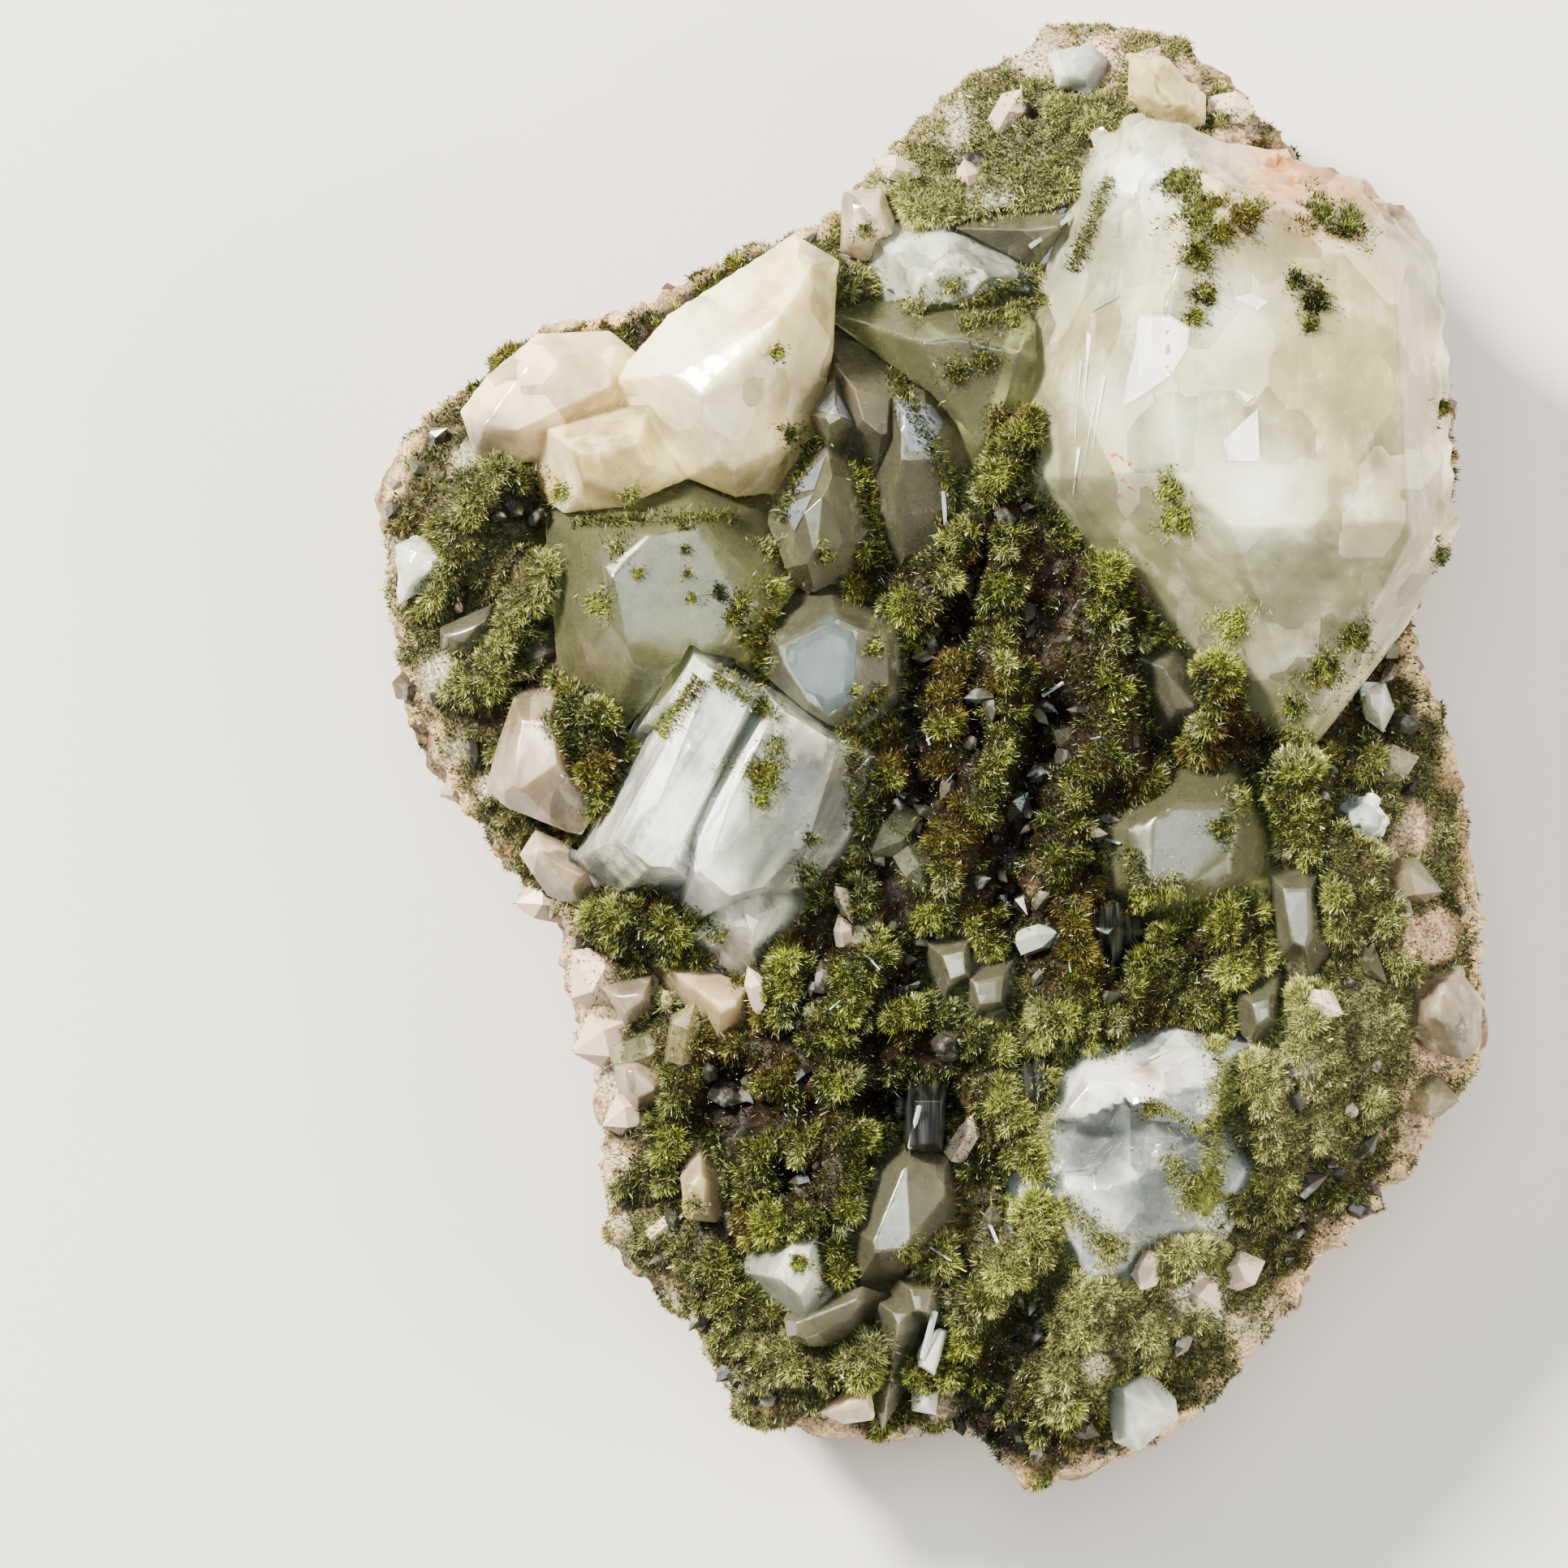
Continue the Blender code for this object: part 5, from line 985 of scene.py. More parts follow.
class SPECIMEN_OT_crystals(Operator):
    """Round the edges of every crystal, give it its stone, and give some of them growth lines"""

    bl_idname = "specimen.crystals"
    bl_label = "Quartz and epidote crystals"

    def execute(self, context):
        settings = context.scene.quartz
        stones = {name: quartz_surface(name, settings) for name in STONES if name != "dark"}
        stones["dark"] = dark_crystal_surface()
        slots = {row["node"]: row["material_slot"] for row in frame["record"]["subparts"]}
        for node, (stone, rounding, grid, wear) in CRYSTALS.items():
            piece = copy_of(node, node + "_stone")
            self.round_edges(piece, rounding * MM)
            self.dice(piece, grid * MM)
            write(piece, relaxed(piece, wear))
            self.paint(piece, node)
            self.relief(piece, node, STONES[stone].uneven)
            piece.data.shade_smooth()
            select_only(piece)
            bpy.ops.object.shade_smooth_by_angle(angle=math.radians(11 if node in BROKEN else 24))
            dress(piece, stones[stone], slots[node], node)
        return {"FINISHED"}

    def round_edges(self, piece, width):
        """Clear the loose triangles of the flat faces and bevel the crystal's edges."""
        select_only(piece)
        bpy.ops.object.mode_set(mode="EDIT")
        bpy.ops.mesh.select_all(action="SELECT")
        bpy.ops.mesh.dissolve_limited(angle_limit=math.radians(1.5))
        bpy.ops.object.mode_set(mode="OBJECT")
        bevel = piece.modifiers.new("edges", "BEVEL")
        bevel.width = width
        bevel.segments = 2
        bevel.limit_method = "ANGLE"
        bevel.angle_limit = math.radians(14)
        bevel.use_clamp_overlap = True
        apply_all(piece)

    def dice(self, piece, size):
        """Cut the faces into small cells, so that they can be made uneven."""
        points = read(piece)
        low, high = points.min(axis=0), points.max(axis=0)
        select_only(piece)
        bpy.ops.object.mode_set(mode="EDIT")
        for axis in range(3):
            normal = tuple(1.0 if axis == step else 0.0 for step in range(3))
            for cut in np.arange(low[axis] + size / 2, high[axis], size):
                bpy.ops.mesh.select_all(action="SELECT")
                place = tuple(normal[step] * cut for step in range(3))
                bpy.ops.mesh.bisect(plane_co=place, plane_no=normal, threshold=0.000001)
        bpy.ops.mesh.select_all(action="SELECT")
        bpy.ops.mesh.quads_convert_to_tris()
        bpy.ops.object.mode_set(mode="OBJECT")

    def paint(self, piece, node):
        """Store the stone's colour and milkiness: soft zones, partly painted light, and painted sky reflections on
        sky-facing faces.
        """
        points, normals = read(piece), read(piece, "normal")
        stone = STONES[CRYSTALS[node][0]]
        tint = zoned(points, stone.milk, ZONES.get(node, ()))
        # Painted sky reflection: faces turned towards the sky are blended towards pale blue
        sky_reflection = smooth_step(normals @ np.asarray(SKY_REFLECTION_SIDE), 0.86, 0.97) * stone.sky
        tint += (np.asarray(PAINTED_SKY_REFLECTION) - tint) * (0.8 * sky_reflection)[:, None]
        tone = 1.0 + 0.14 * lumps(points, 0.005, 16)
        bright = tint.mean(axis=1) - np.mean(stone.milk)
        if node in LINES:
            across = np.asarray(LINES[node][0])
            streaks = LINES[node][3] * lumps(0.14 * points + np.outer(points @ across, across), 0.0007, 28)
            tone += streaks
            bright += streaks
        store(piece, "tint", np.clip(tint * tone[:, None], 0.0, 1.0))
        store(piece, "milk", bright)

    def relief(self, piece, node, unevenness):
        """Make the faces slightly uneven, with growth lines on the large crystals."""
        points, normals = read(piece), read(piece, "normal")
        height = unevenness * (lumps(points, 0.0026, 6) + 0.4 * lumps(points, 0.0009, 7))
        if node == "quartz_big_block":
            broken = smooth_step(points[:, 1] / MM, 20.4, 22.0) + smooth_step(points[:, 0] / MM, 19.9, 20.6)
            height += np.minimum(broken, 1.0) * (0.8 * chips(points, 0.0013, 20) + 0.06 * lumps(points, 0.0005, 21))
        if node == "quartz_white_block":
            points = self.cleaved(points)
        if node in BROKEN:
            size, depth = BROKEN[node]
            height += depth * (chips(points, size * MM, 22) + 0.14 * chips(points, 0.45 * size * MM, 26))
        if node in LINES:
            direction, depth, spacing, _ = LINES[node]
            along = points @ np.asarray(direction) / (spacing * MM)
            drift = 0.8 * lumps(points, 0.006, 8)
            steps = np.abs((along + drift) % 1.0 - 0.5) * 2.0
            height += depth * (smooth_step(steps, 0.55, 0.95) - 0.5) * (0.6 + 0.8 * lumps(points, 0.004, 9))
        write(piece, points + normals * (height * MM)[:, None])


    def cleaved(self, points):
        """Lower the top of the white block to its flat breaks, with jagged steps between them."""
        points = points.copy()
        top = points[:, 2].max() / MM
        wobble = 0.35 * lumps(points, 0.0011, 31)
        x, y = points[:, 0] / MM, points[:, 1] / MM
        for centre_x, centre_y, depth, slope_x, slope_y, a, b, limit in CLEAVED:
            level = top - depth + slope_x * (x - centre_x) + slope_y * (y - centre_y)
            lowered = (a * x + b * y < limit + wobble) & (points[:, 2] / MM > level)
            points[lowered, 2] = level[lowered] * MM
        return points


class SPECIMEN_OT_placed(Operator):
    """Set the small crystals and rods that have a place of their own"""

    bl_idname = "specimen.placed"
    bl_label = "Placed small crystals"

    def execute(self, context):
        rng = np.random.default_rng(context.scene.epidote.seed + 4)
        rock = bpy.data.objects[ROCK]
        rock.data.calc_loop_triangles()
        faces = [tuple(face.vertices) for face in rock.data.loop_triangles]
        ground = BVHTree.FromPolygons([vertex.co for vertex in rock.data.vertices], faces)
        down = Vector((0.0, 0.0, -1.0))

        def height(x, y):
            spot = ground.ray_cast(Vector((x, y, 40.0)) * MM, down)[0]
            return (0.0 if spot is None else spot.z / MM) * MM

        table = np.array([row[:6] for row in PLACED])
        x, y, wide, long, turn, lean = table.T
        turn, lean = np.radians(turn), np.radians(lean)
        axes = np.column_stack((np.cos(turn) * np.sin(lean), np.sin(turn) * np.sin(lean), np.cos(lean)))
        roots = np.column_stack((x * MM, y * MM, [height(*spot) for spot in zip(x, y)]))
        roots -= axes * (0.55 * long * MM)[:, None]
        roots[:, 2] -= 0.15 * wide * MM
        tints = np.array([row[6] for row in PLACED])
        pale = tints.mean(axis=1) > 0.37
        blue = ~pale & (tints[:, 2] > tints[:, 0])
        kinds = (("pale", pale, "pinkish"), ("blue", blue, "grey"), ("dull", ~pale & ~blue, "hazy"))
        for name, chosen, stone in kinds:
            piece = scatter(f"quartz_{name}_points", prism_form(6, 0.62, 0.95, 1.0), roots[chosen], axes[chosen],
                            wide[chosen] * MM, long[chosen] * 1.5 * MM, tints[chosen], rng, (0.9, 1.05), skew=0.5)
            slot = "quartz_milky" if stone == "hazy" else "quartz_" + stone
            dress(piece, bpy.data.materials["quartz_" + stone], slot)
        crystals = crystal_tree()

        def over(x, y):
            spot = crystals.ray_cast(Vector((x, y, 40.0)) * MM, down)[0]
            return max(height(x, y), 0.0 if spot is None else spot.z)

        starts = np.array([(a * MM, b * MM, over(a, b)) for a, b, _, _, _ in RODS])
        ends = np.array([(c * MM, d * MM, over(c, d)) for _, _, c, d, _ in RODS])
        widths = np.array([row[4] for row in RODS]) * MM
        starts[:, 2] += widths + 0.0001
        ends[:, 2] += widths + 0.0001
        lengths = np.linalg.norm(ends - starts, axis=1)
        tints = np.tile((0.72, 0.78, 0.84), (len(RODS), 1))
        piece = scatter("quartz_placed_rods", prism_form(4, 0.95, 0.95, 1.0), starts, ends - starts, widths,
                        lengths, tints, rng, (0.9, 1.05), skew=0.01)
        dress(piece, small_quartz_surface("quartz_placed_rods"), "quartz_white")
        return {"FINISHED"}


class SPECIMEN_OT_moss(Operator):
    """Grow epidote needles on the ridges and slopes of the rock"""

    bl_idname = "specimen.moss"
    bl_label = "Epidote moss"

    def execute(self, context):
        settings = context.scene.epidote
        rng = np.random.default_rng(settings.seed)
        rock = bpy.data.objects[ROCK]
        crest, covered, mossy, tuft = (recall(rock, name) for name in ("crest", "covered", "mossy", "tuft"))
        points = read(rock)
        proud = smooth_step(crest + 0.35 * brightness(points) + 0.25 * sunlit_paleness(points), -0.12, 0.34)
        heads = smooth_step(tuft, -0.04, 0.06)
        density = settings.slope_density * (0.15 + proud) + settings.crest_density * proud ** 1.5
        density *= mossy * (1.0 - covered) * (0.6 + 0.4 * heads)
        roots, normals, high, head = thinned(rng, settings.needles, *sampled(rock, density, rng, crest, heads))
        high, head = high[:, 0], head[:, 0]
        crumb = lumps(roots, 0.00030, 29)
        axes = normals / np.linalg.norm(normals, axis=1)[:, None] + rng.normal(0, 0.45, roots.shape)
        grown = 0.50 + 0.25 * smooth_step(high, 0.0, 0.5) + 0.25 * head
        lengths = settings.needle_length * grown * (1.0 + 0.45 * crumb) * rng.lognormal(0, 0.28, len(roots))
        widths = settings.needle_width * rng.lognormal(-0.1, 0.25, len(roots)) * 0.5
        # Painted light and shade: needles high on the ridges and on the tops of beads are lighter, those low between
        # them darker
        tints = moss_tints(roots, high * (0.5 + 0.5 * head) + 0.30 * crumb, rng)
        tints *= ((0.5 + 0.5 * head) * (1.0 + 0.7 * crumb))[:, None]
        blunt = rng.random(len(roots)) < 0.06
        surface = needle_surface()
        bands = np.where(blunt, 4, np.digitize(roots[:, 1], np.quantile(roots[:, 1], (0.25, 0.5, 0.75))))
        for band, end in enumerate((0.0, 0.0, 0.0, 0.0, 0.8)):
            chosen = bands == band
            name = f"epidote_needles_{band + 1}" if band < 4 else "epidote_blunt_needles"
            piece = scatter(name, needle_form(end), roots[chosen], axes[chosen], widths[chosen],
                            lengths[chosen], tints[chosen], rng)
            dress(piece, surface, "epidote_crust")
        return {"FINISHED"}


def thinned(rng, most, *rows):
    """The same chance choice of at most the given number from each set of rows."""
    kept = rng.permutation(len(rows[0]))[:most]
    return [row[kept] for row in rows]


def spread(points, spots, limit):
    """The sum of round soft spots at each point, up to a limit."""
    total = np.zeros(len(points))
    for x, y, radius, strength in spots:
        away = np.hypot(points[:, 0] / MM - x, points[:, 1] / MM - y)
        total += strength * np.exp(-(away / radius) ** 2)
    return np.minimum(total, limit)


def brightness(points):
    """How bright a green the epidote has at each point."""
    return spread(points, BRIGHT_SPOTS, 1.2)


def sunlit_paleness(points):
    """How pale and sandy the crust is at each point: partly its own colour, partly painted sunlight."""
    return spread(points, PALE_SPOTS, 1.0)


def moss_tints(roots, high, rng):
    """A colour for each needle from its place, its height on the ridge and chance, with painted light high on the
    ridge and painted shade low on it.
    """
    patch = lumps(roots, 0.0034, 11)
    fleck = lumps(roots, 0.0009, 12)
    bright = brightness(roots)
    # Painted light and shade: needles high on a ridge are lighter and yellower, low ones darker
    level = -0.16 + 0.95 * smooth_step(high, 0.05, 0.60) + 0.28 * patch + 0.32 * fleck + 0.5 * bright
    level += rng.normal(0, 0.24, len(roots))
    tints = mixed(DARK_GREEN, OLIVE, smooth_step(level, 0.0, 0.45))
    tints = tints + (np.asarray(YELLOW_GREEN) - tints) * smooth_step(level, 0.45, 1.15)[:, None]
    # Painted sunlight, over the crust's own paler colour: the needles turn paler and sandier in the pale spots
    sunlit_pale = sunlit_paleness(roots)
    brown = smooth_step(lumps(roots, 0.0028, 13) + 0.5 * fleck - 0.5 * (high - 0.3), 0.0, 0.5)
    brown *= 1 - np.clip(bright + sunlit_pale, 0, 1)
    tints = tints + (np.asarray(BROWN) - tints) * (0.75 * brown)[:, None]
    glint = rng.random(len(roots)) < 0.09
    tints[glint] = tints[glint] * 0.3 + np.asarray(PALE) * 0.9
    grey = smooth_step(lumps(roots, 0.0022, 18), 0.15, 0.55) * smooth_step(level, 0.3, 0.8)
    tints = tints + (np.asarray(PALE) * 0.62 - tints) * (0.6 * grey)[:, None]
    share = sunlit_pale * (0.55 + 0.45 * smooth_step(level, 0.0, 0.8))
    tints = tints + (np.asarray(SUNLIT) - tints) * (0.75 * share)[:, None]
    return tints * rng.uniform(0.75, 1.35, (len(roots), 1))


class SPECIMEN_OT_tufts(Operator):
    """Set tufts of epidote on the faces of the crystals"""

    bl_idname = "specimen.tufts"
    bl_label = "Tufts on crystals"

    def execute(self, context):
        settings = context.scene.epidote
        rng = np.random.default_rng(settings.seed + 1)
        tree = crystal_tree()
        roots, axes, lights = [], [], []
        down = Vector((0.0, 0.0, -1.0))
        for x, y, radius, count, light in CRYSTAL_TUFTS:
            count = int(count * 3.4)
            turns = rng.uniform(0, math.tau, count)
            reach = radius * np.minimum(0.60 * np.abs(rng.normal(0, 1, count)), 1.4)
            ragged = 1.0 + 0.35 * np.sin(3 * turns + x) + 0.25 * np.sin(7 * turns + y)
            for turn, out in zip(turns, reach * ragged):
                start = Vector((x + out * math.cos(turn), y + out * math.sin(turn), 40.0)) * MM
                spot, normal, _, _ = tree.ray_cast(start, down)
                if spot is None:
                    continue
                mound = 0.22 * max(0.0, 1.0 - (out / radius) ** 2) * rng.random()
                roots.append(spot + normal * (mound - 0.03) * MM)
                axes.append(normal + Vector(rng.normal(0, 0.6, 3)))
                lights.append(light)
        everything = crystal_tree(MATRIX_NODE)
        for x0, y0, x1, y1, width, count, light in SEAMS:
            count = int(count * 2.4)
            along, across = rng.random(count), width * rng.normal(0, 0.6, count)
            turned = np.array((y0 - y1, x1 - x0)) / math.hypot(x1 - x0, y1 - y0)
            places = np.outer(1 - along, (x0, y0)) + np.outer(along, (x1, y1)) + np.outer(across, turned)
            for x, y in places:
                spot, normal, _, _ = everything.ray_cast(Vector((x, y, 40.0)) * MM, down)
                banks = []
                for side in (-0.6, 0.6):
                    bank = Vector((x + side * turned[0], y + side * turned[1], 40.0)) * MM
                    banks.append(everything.ray_cast(bank, down)[0].z - 0.2 * MM)
                rise = max(0.0, min(banks) - spot.z)
                roots.append(spot + normal * 0.2 * MM * rng.random() + Vector((0.0, 0.0, rise * rng.random() ** 0.3)))
                axes.append(normal + Vector(rng.normal(0, 0.5, 3)) + Vector((0.0, 0.0, 0.5)))
                lights.append(light)
        roots, axes, lights = np.array(roots), np.array(axes), np.array(lights)
        lengths = settings.needle_length * 0.8 * np.minimum(rng.lognormal(0, 0.3, len(roots)), 1.4)
        crumb = lumps(roots, 0.00030, 29)
        widths = settings.needle_width * 0.55 * rng.lognormal(0, 0.25, len(roots))
        tints = moss_tints(roots, 0.18 + 0.55 * lights + 0.25 * crumb, rng)
        tints *= ((0.75 + 0.30 * lights) * (1.0 + 0.6 * crumb))[:, None]
        piece = scatter("epidote_tufts_on_crystals", needle_form(), roots, axes, widths, lengths, tints, rng)
        dress(piece, needle_surface(), "epidote_crust")
        return {"FINISHED"}


class SPECIMEN_OT_fringe(Operator):
    """Let the moss creep up the foot of every crystal"""

    bl_idname = "specimen.fringe"
    bl_label = "Moss on the crystals' feet"

    def execute(self, context):
        settings = context.scene.epidote
        rng = np.random.default_rng(settings.seed + 3)
        rock = bpy.data.objects[ROCK].data
        rock.calc_loop_triangles()
        faces = [tuple(face.vertices) for face in rock.loop_triangles]
        tree = BVHTree.FromPolygons([vertex.co for vertex in rock.vertices], faces)
        gathered = []
        for name in [node + "_stone" for node in CRYSTALS] + ["quartz_pale_points", "quartz_dull_points"]:
            stone = bpy.data.objects[name]
            points = read(stone)
            reach = (0.40 + 0.85 * lumps(points, 0.0017, 17)) * MM
            share = np.zeros(len(points))
            for index, row in enumerate(points):
                place = Vector(row)
                spot, normal, _, away = tree.find_nearest(place, 0.0013)
                if spot is None or (place - spot).dot(normal) < -0.0001:
                    continue
                if tree.ray_cast(place, Vector((0.0, 0.0, 1.0)))[0] is None:
                    share[index] = 1.0 - away / max(reach[index], 0.00001)
            share = np.clip(share * 2.0, 0.0, 1.0)
            gathered.append(sampled(stone, share * settings.crest_density * 0.8, rng))
        roots = np.concatenate([rows[0] for rows in gathered])
        normals = np.concatenate([rows[1] for rows in gathered])
        print("fringe", len(roots), flush=True)
        roots, normals = thinned(rng, settings.fringe_needles, roots, normals)
        axes = normals + rng.normal(0, 0.5, roots.shape)
        lengths = settings.needle_length * rng.lognormal(-0.1, 0.3, len(roots))
        widths = settings.needle_width * 0.5 * rng.lognormal(0, 0.25, len(roots))
        tints = moss_tints(roots, rng.uniform(0.0, 0.55, len(roots)), rng)
        piece = scatter("epidote_fringe", needle_form(), roots - normals * 0.03 * MM, axes, widths,
                        lengths, tints, rng)
        dress(piece, needle_surface(), "epidote_crust")
        return {"FINISHED"}


class SPECIMEN_OT_small_quartz(Operator):
    """Set tiny quartz points, bright rods and white grains, partly painted glints, into the recesses"""

    bl_idname = "specimen.small_quartz"
    bl_label = "Small quartz"

    def execute(self, context):
        settings = context.scene.quartz
        rng = np.random.default_rng(context.scene.epidote.seed + 2)
        rock = bpy.data.objects[ROCK]
        crest, covered, mossy = (recall(rock, name) for name in ("crest", "covered", "mossy"))
        open_rock = mossy * (1.0 - covered)
        low = open_rock * (1.0 - smooth_step(crest, -0.30, 0.15))
        self.grow(rock, "quartz_small_points", prism_form(6, 0.50, 0.95, 1.0), low, settings.small_points,
                  (0.15, 0.58), (0.50, 1.50), 1.1, (0.115, 0.11, 0.08), rng, skew=0.8)
        self.grow(rock, "quartz_rods", prism_form(4, 0.94, 0.95, 1.0), low + 0.3 * open_rock, settings.rods,
                  (0.030, 0.060), (0.3, 0.8), 1.4, (0.60, 0.66, 0.70), rng)
        # White grains in the moss, partly small quartz and partly painted glints
        self.grow(rock, "quartz_grains", prism_form(4, 0.6, 0.7, 1.0), open_rock, settings.specks,
                  (0.015, 0.045), (0.04, 0.10), 1.0, (0.80, 0.82, 0.78), rng, lift=0.12)
        self.grow(rock, "quartz_wall_grains", prism_form(5, 0.55, 0.9, 0.8), recall(rock, "wall"),
                  context.scene.epidote.wall_points, (0.20, 0.70), (0.30, 0.60), 0.35, (0.46, 0.36, 0.25), rng,
                  lift=-0.24, skew=0.8)
        return {"FINISHED"}

    def grow(self, rock, name, form, share, count, width, length, spread, tint, rng, lift=0.0, skew=0.2):
        """Scatter count small crystals where share is high."""
        density = share * count / 1200.0
        roots, normals, kept = sampled(rock, density, rng, share)
        size = rng.beta(1.4, 3.0, len(roots))
        widths = (width[0] + (width[1] - width[0]) * size) * MM
        lengths = (length[0] + (length[1] - length[0]) * size) * MM * rng.uniform(0.8, 1.2, len(roots))
        axes = normals + rng.normal(0, spread, roots.shape)
        if spread > 0.5:
            axes[:, 2] = np.abs(axes[:, 2])
        roots = roots + normals * (lift * MM)
        shade = rng.lognormal(-0.2, 0.5, (len(roots), 1))
        tints = np.asarray(tint) * shade * rng.uniform(0.93, 1.07, (len(roots), 3))
        piece = scatter(name, form, roots, axes, widths, lengths, tints, rng, (0.8, 1.1), skew)
        dress(piece, small_quartz_surface(name), "quartz_grey")


def small_quartz_surface(name):
    """Small quartz: glassy, with the stored tint and a few clouds."""
    surface = Surface(name + "_surface")
    cloud = surface.grain(0.0007, 3.0)
    pale = surface.blend(0.35, surface.tint(), (0.9, 0.92, 0.88))
    colour = surface.blend(cloud.between(0.5, 0.7), surface.tint(), pale)
    shader = surface.principled(Base_Color=colour, Roughness=0.10 + 0.2 * cloud, IOR=1.544,
                                Transmission_Weight=0.45)
    return surface.finish(shader)


class SPECIMEN_OT_marks(Operator):
    """Lay painted highlights, painted sky reflections and rust-red specks on the crystals"""

    bl_idname = "specimen.marks"
    bl_label = "Flashes and rust"

    def execute(self, context):
        tree = crystal_tree()
        points, triangles, fades, tints = [], [], [], []
        # Each patch is a painted highlight or a painted sky reflection, fading towards its edge
        for colour, sharpness, outline in FLASHES:
            middle = np.mean(outline, axis=0)
            for step, corner in enumerate(outline):
                sides = np.array(corner) - middle, np.array(outline[(step + 1) % len(outline)]) - middle
                rows = []
                for row in range(5):
                    rows.append(len(points))
                    for column in range(row + 1):
                        x, y = middle + (sides[0] * (row - column) + sides[1] * column) / 4
                        points.append(self.on_stone(tree, x, y, 0.04))
                        fades.append(1.0 - (row / 4) ** sharpness)
                        tints.append(colour)
                for row in range(4):
                    upper, lower = rows[row], rows[row + 1]
                    triangles += [(upper + k, lower + k, lower + k + 1) for k in range(row + 1)]
                    triangles += [(upper + k, lower + k + 1, upper + k + 1) for k in range(row)]
        tints = np.array(tints) * (0.86 + 0.14 * lumps(np.array(points), 0.0009, 19))[:, None]
        flashes = mesh_of("quartz_flashes", np.array(points), np.array(triangles), tints)
        store(flashes, "fade", np.array(fades))
        dress(flashes, flash_surface(), "quartz_white")
        points, triangles = [], []
        for x, y, length, turn in RUST:
            along = Vector((math.cos(math.radians(turn)), math.sin(math.radians(turn)))) * length / 2
            start = len(points)
            for side in (-1, -0.4, 0.4, 1):
                for edge in (-0.045, 0.045):
                    wide = edge * (1.2 - abs(side))
                    points.append(self.on_stone(tree, x + along.x * side - along.y * wide / length * 2,
                                                y + along.y * side + along.x * wide / length * 2, 0.06))
            for step in (0, 2, 4):
                triangles += [(start + step, start + step + 2, start + step + 1),
                              (start + step + 1, start + step + 2, start + step + 3)]
        tints = np.tile((0.75, 0.16, 0.04), (len(points), 1))
        rust = mesh_of("rust_specks", np.array(points), np.array(triangles), tints)
        dress(rust, needle_surface(), "quartz_cream")
        return {"FINISHED"}

    def on_stone(self, tree, x, y, lift):
        """The highest point of the crystals at x, y in mm, lifted a little."""
        spot, normal, _, _ = tree.ray_cast(Vector((x, y, 40.0)) * MM, Vector((0.0, 0.0, -1.0)))
        return spot + normal * lift * MM


def flash_surface():
    """Painted highlights and painted sky reflections on the quartz, streaked, and fading at their edges."""
    surface = Surface("quartz_flash")
    streak = surface.grain(0.0004, 3.0, (1.0, 4.0, 1.0))
    dim = surface.blend(0.12, surface.tint(), (0.0, 0.0, 0.0))
    colour = surface.blend(streak.between(0.35, 0.6), dim, surface.tint())
    wisp = surface.grain(0.0007, 3.0, (1.0, 2.5, 1.0))
    alpha = surface.value("ShaderNodeMath", {"operation": "ADD", "use_clamp": True},
                          {0: surface.stored("fade").between(0.0, 0.5), 1: 0.8 * (wisp - 0.62)})
    shader = surface.principled(Base_Color=colour, Roughness=0.15 + 0.3 * streak, IOR=1.544, Alpha=alpha)
    return surface.finish(shader)


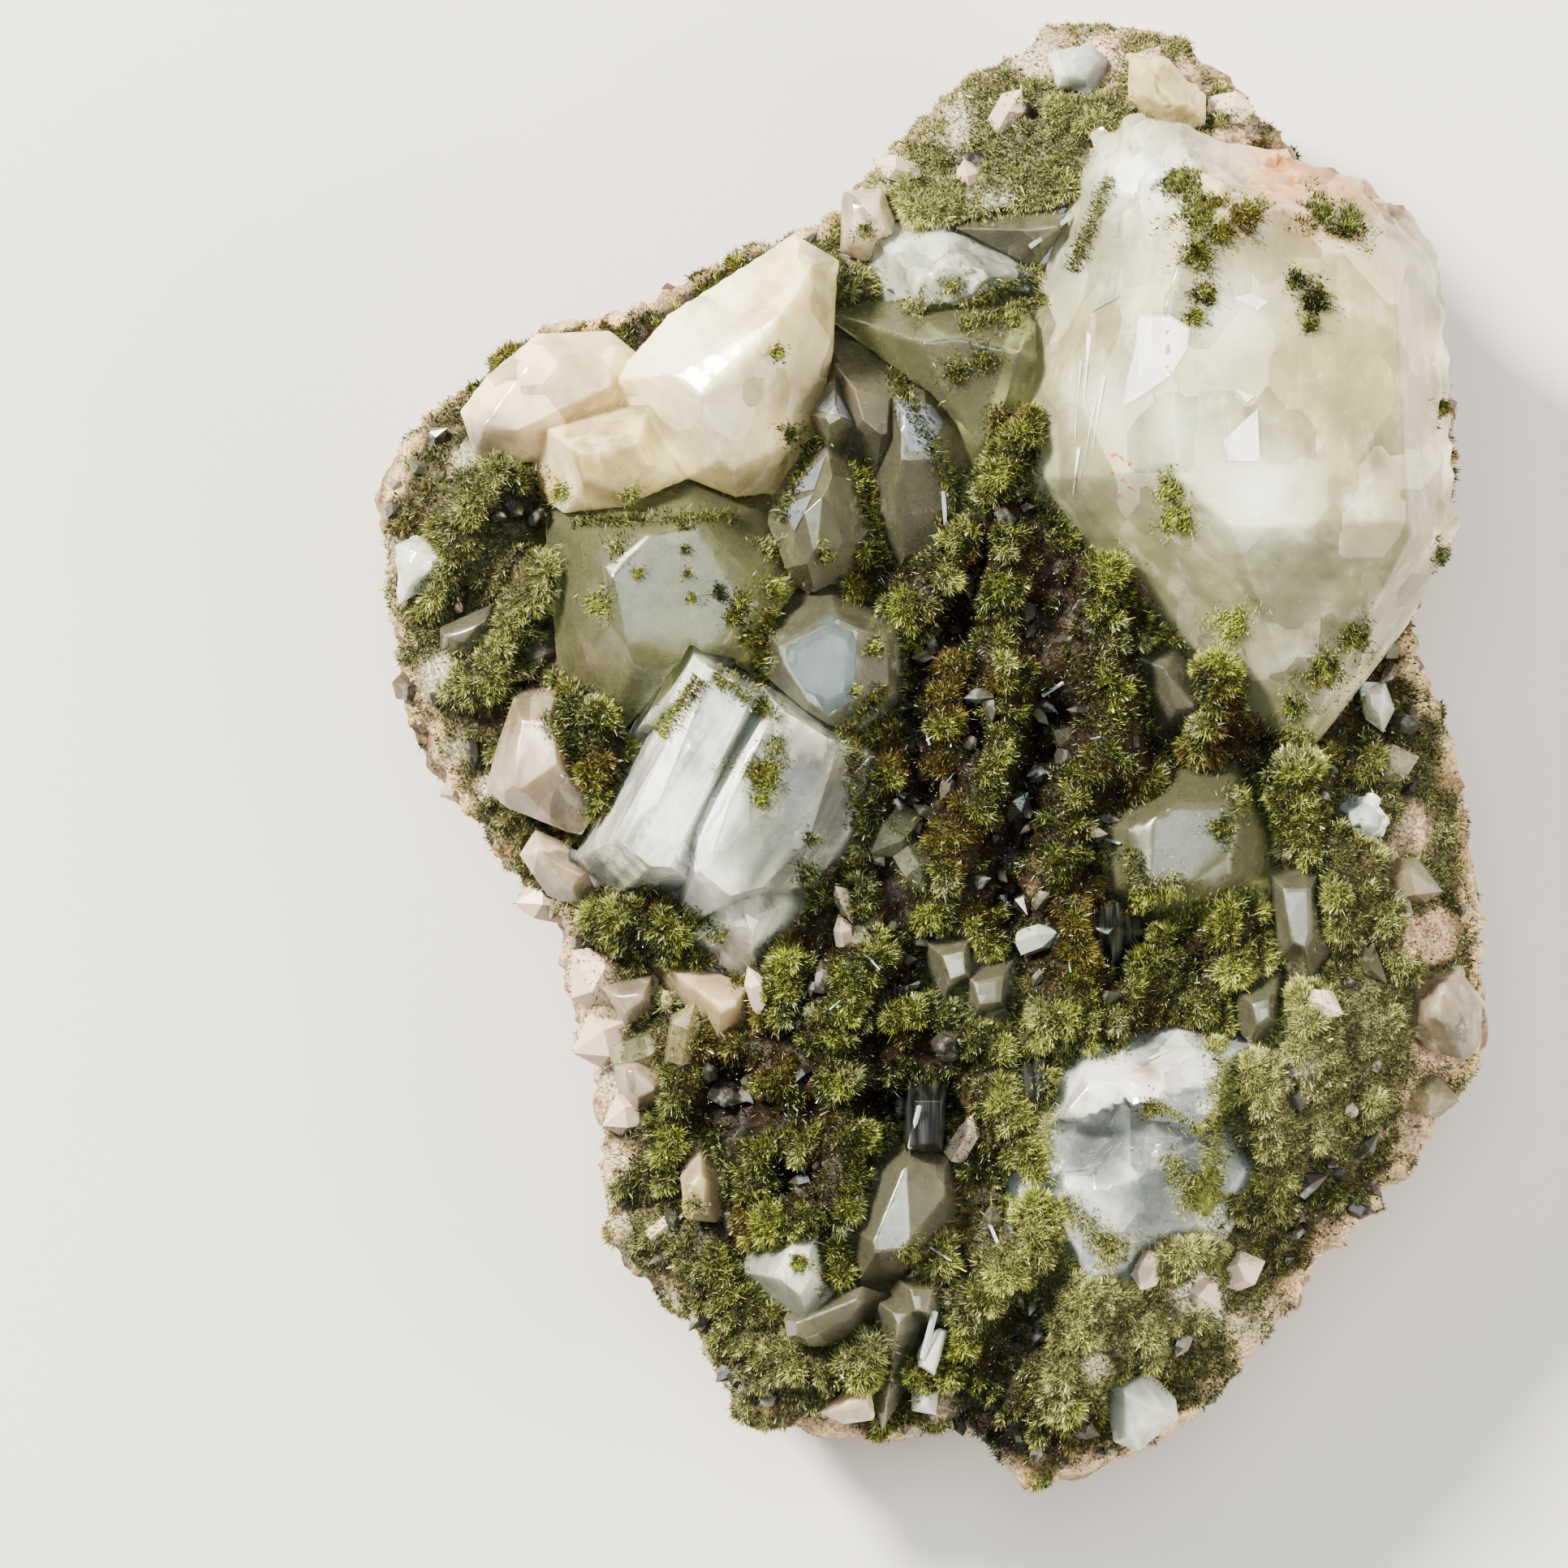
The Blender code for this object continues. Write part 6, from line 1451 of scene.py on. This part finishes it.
class SPECIMEN_OT_stage(Operator):
    """Make the floor, the lights and the camera"""

    bl_idname = "specimen.stage"
    bl_label = "Stage"

    def execute(self, context):
        settings = context.scene.specimen_stage
        bpy.ops.object.select_all(action="DESELECT")
        bpy.ops.mesh.primitive_plane_add(size=1.6, location=(0, 0, 0))
        floor = context.active_object
        floor.name = "floor"
        floor.data.materials.append(floor_surface(settings.floor_colour))
        world = bpy.data.worlds.new("studio")
        world.use_nodes = True
        background = world.node_tree.nodes["Background"]
        background.inputs["Color"].default_value = (0.86, 0.90, 0.95, 1.0)
        background.inputs["Strength"].default_value = 0.28
        context.scene.world = world
        power = settings.key_power
        self.light("key", (-0.28, 0.24, 0.32), 0.09, power * 1.15, (1.0, 0.93, 0.80))
        self.light("overhead", (-0.02, 0.13, 0.62), 0.28, power * 0.28, (0.86, 0.93, 1.0))
        self.light("fill", (0.42, -0.10, 0.24), 0.36, power * 0.62, (1.0, 0.91, 0.80), False)
        context.scene.view_settings.look = "AgX - Medium High Contrast"
        data = bpy.data.cameras.new("camera")
        data.sensor_width = 36.0
        data.lens = 36.0 * settings.camera_height / settings.picture_width
        data.clip_start = 0.01
        camera = bpy.data.objects.new("camera", data)
        camera.location = (-0.00627, -0.00137, settings.camera_height + 0.012)
        context.scene.collection.objects.link(camera)
        context.scene.camera = camera
        return {"FINISHED"}

    def light(self, name, place, size, power, colour, glossy=True):
        """A soft square light that looks at the specimen."""
        data = bpy.data.lights.new(name, "AREA")
        data.size = size
        data.energy = power
        data.color = colour
        made = bpy.data.objects.new(name, data)
        made.location = place
        made.visible_glossy = glossy
        toward = Vector((0.0, 0.0, 0.01)) - Vector(place)
        made.rotation_euler = toward.to_track_quat("-Z", "Y").to_euler()
        bpy.context.scene.collection.objects.link(made)


STEPS = ("rock", "crystals", "placed", "moss", "tufts", "fringe", "small_quartz", "marks", "stage")


class SPECIMEN_PT_panel(Panel):
    """Lists the specimen's settings and steps"""

    bl_label = "Specimen"
    bl_idname = "SPECIMEN_PT_panel"
    bl_space_type = "VIEW_3D"
    bl_region_type = "UI"
    bl_category = "Specimen"

    def draw(self, context):
        for step in STEPS:
            self.layout.operator("specimen." + step)
        for group in (context.scene.epidote, context.scene.quartz, context.scene.specimen_stage):
            for name in group.bl_rna.properties.keys():
                if name not in ("rna_type", "name"):
                    self.layout.prop(group, name)


CLASSES = (
    EpidoteSettings, QuartzSettings, StageSettings, SPECIMEN_OT_rock, SPECIMEN_OT_crystals,
    SPECIMEN_OT_placed, SPECIMEN_OT_moss, SPECIMEN_OT_tufts, SPECIMEN_OT_fringe, SPECIMEN_OT_small_quartz, SPECIMEN_OT_marks,
    SPECIMEN_OT_stage, SPECIMEN_PT_panel,
)


def register():
    """Register the classes and their settings."""
    for item in CLASSES:
        bpy.utils.register_class(item)
    bpy.types.Scene.epidote = PointerProperty(type=EpidoteSettings)
    bpy.types.Scene.quartz = PointerProperty(type=QuartzSettings)
    bpy.types.Scene.specimen_stage = PointerProperty(type=StageSettings)


def unregister():
    """Undo register."""
    del bpy.types.Scene.epidote
    del bpy.types.Scene.quartz
    del bpy.types.Scene.specimen_stage
    for item in reversed(CLASSES):
        bpy.utils.unregister_class(item)


def main():
    """Build every piece."""
    register()
    for step in STEPS:
        getattr(bpy.ops.specimen, step)()


if __name__ == "__main__":
    main()
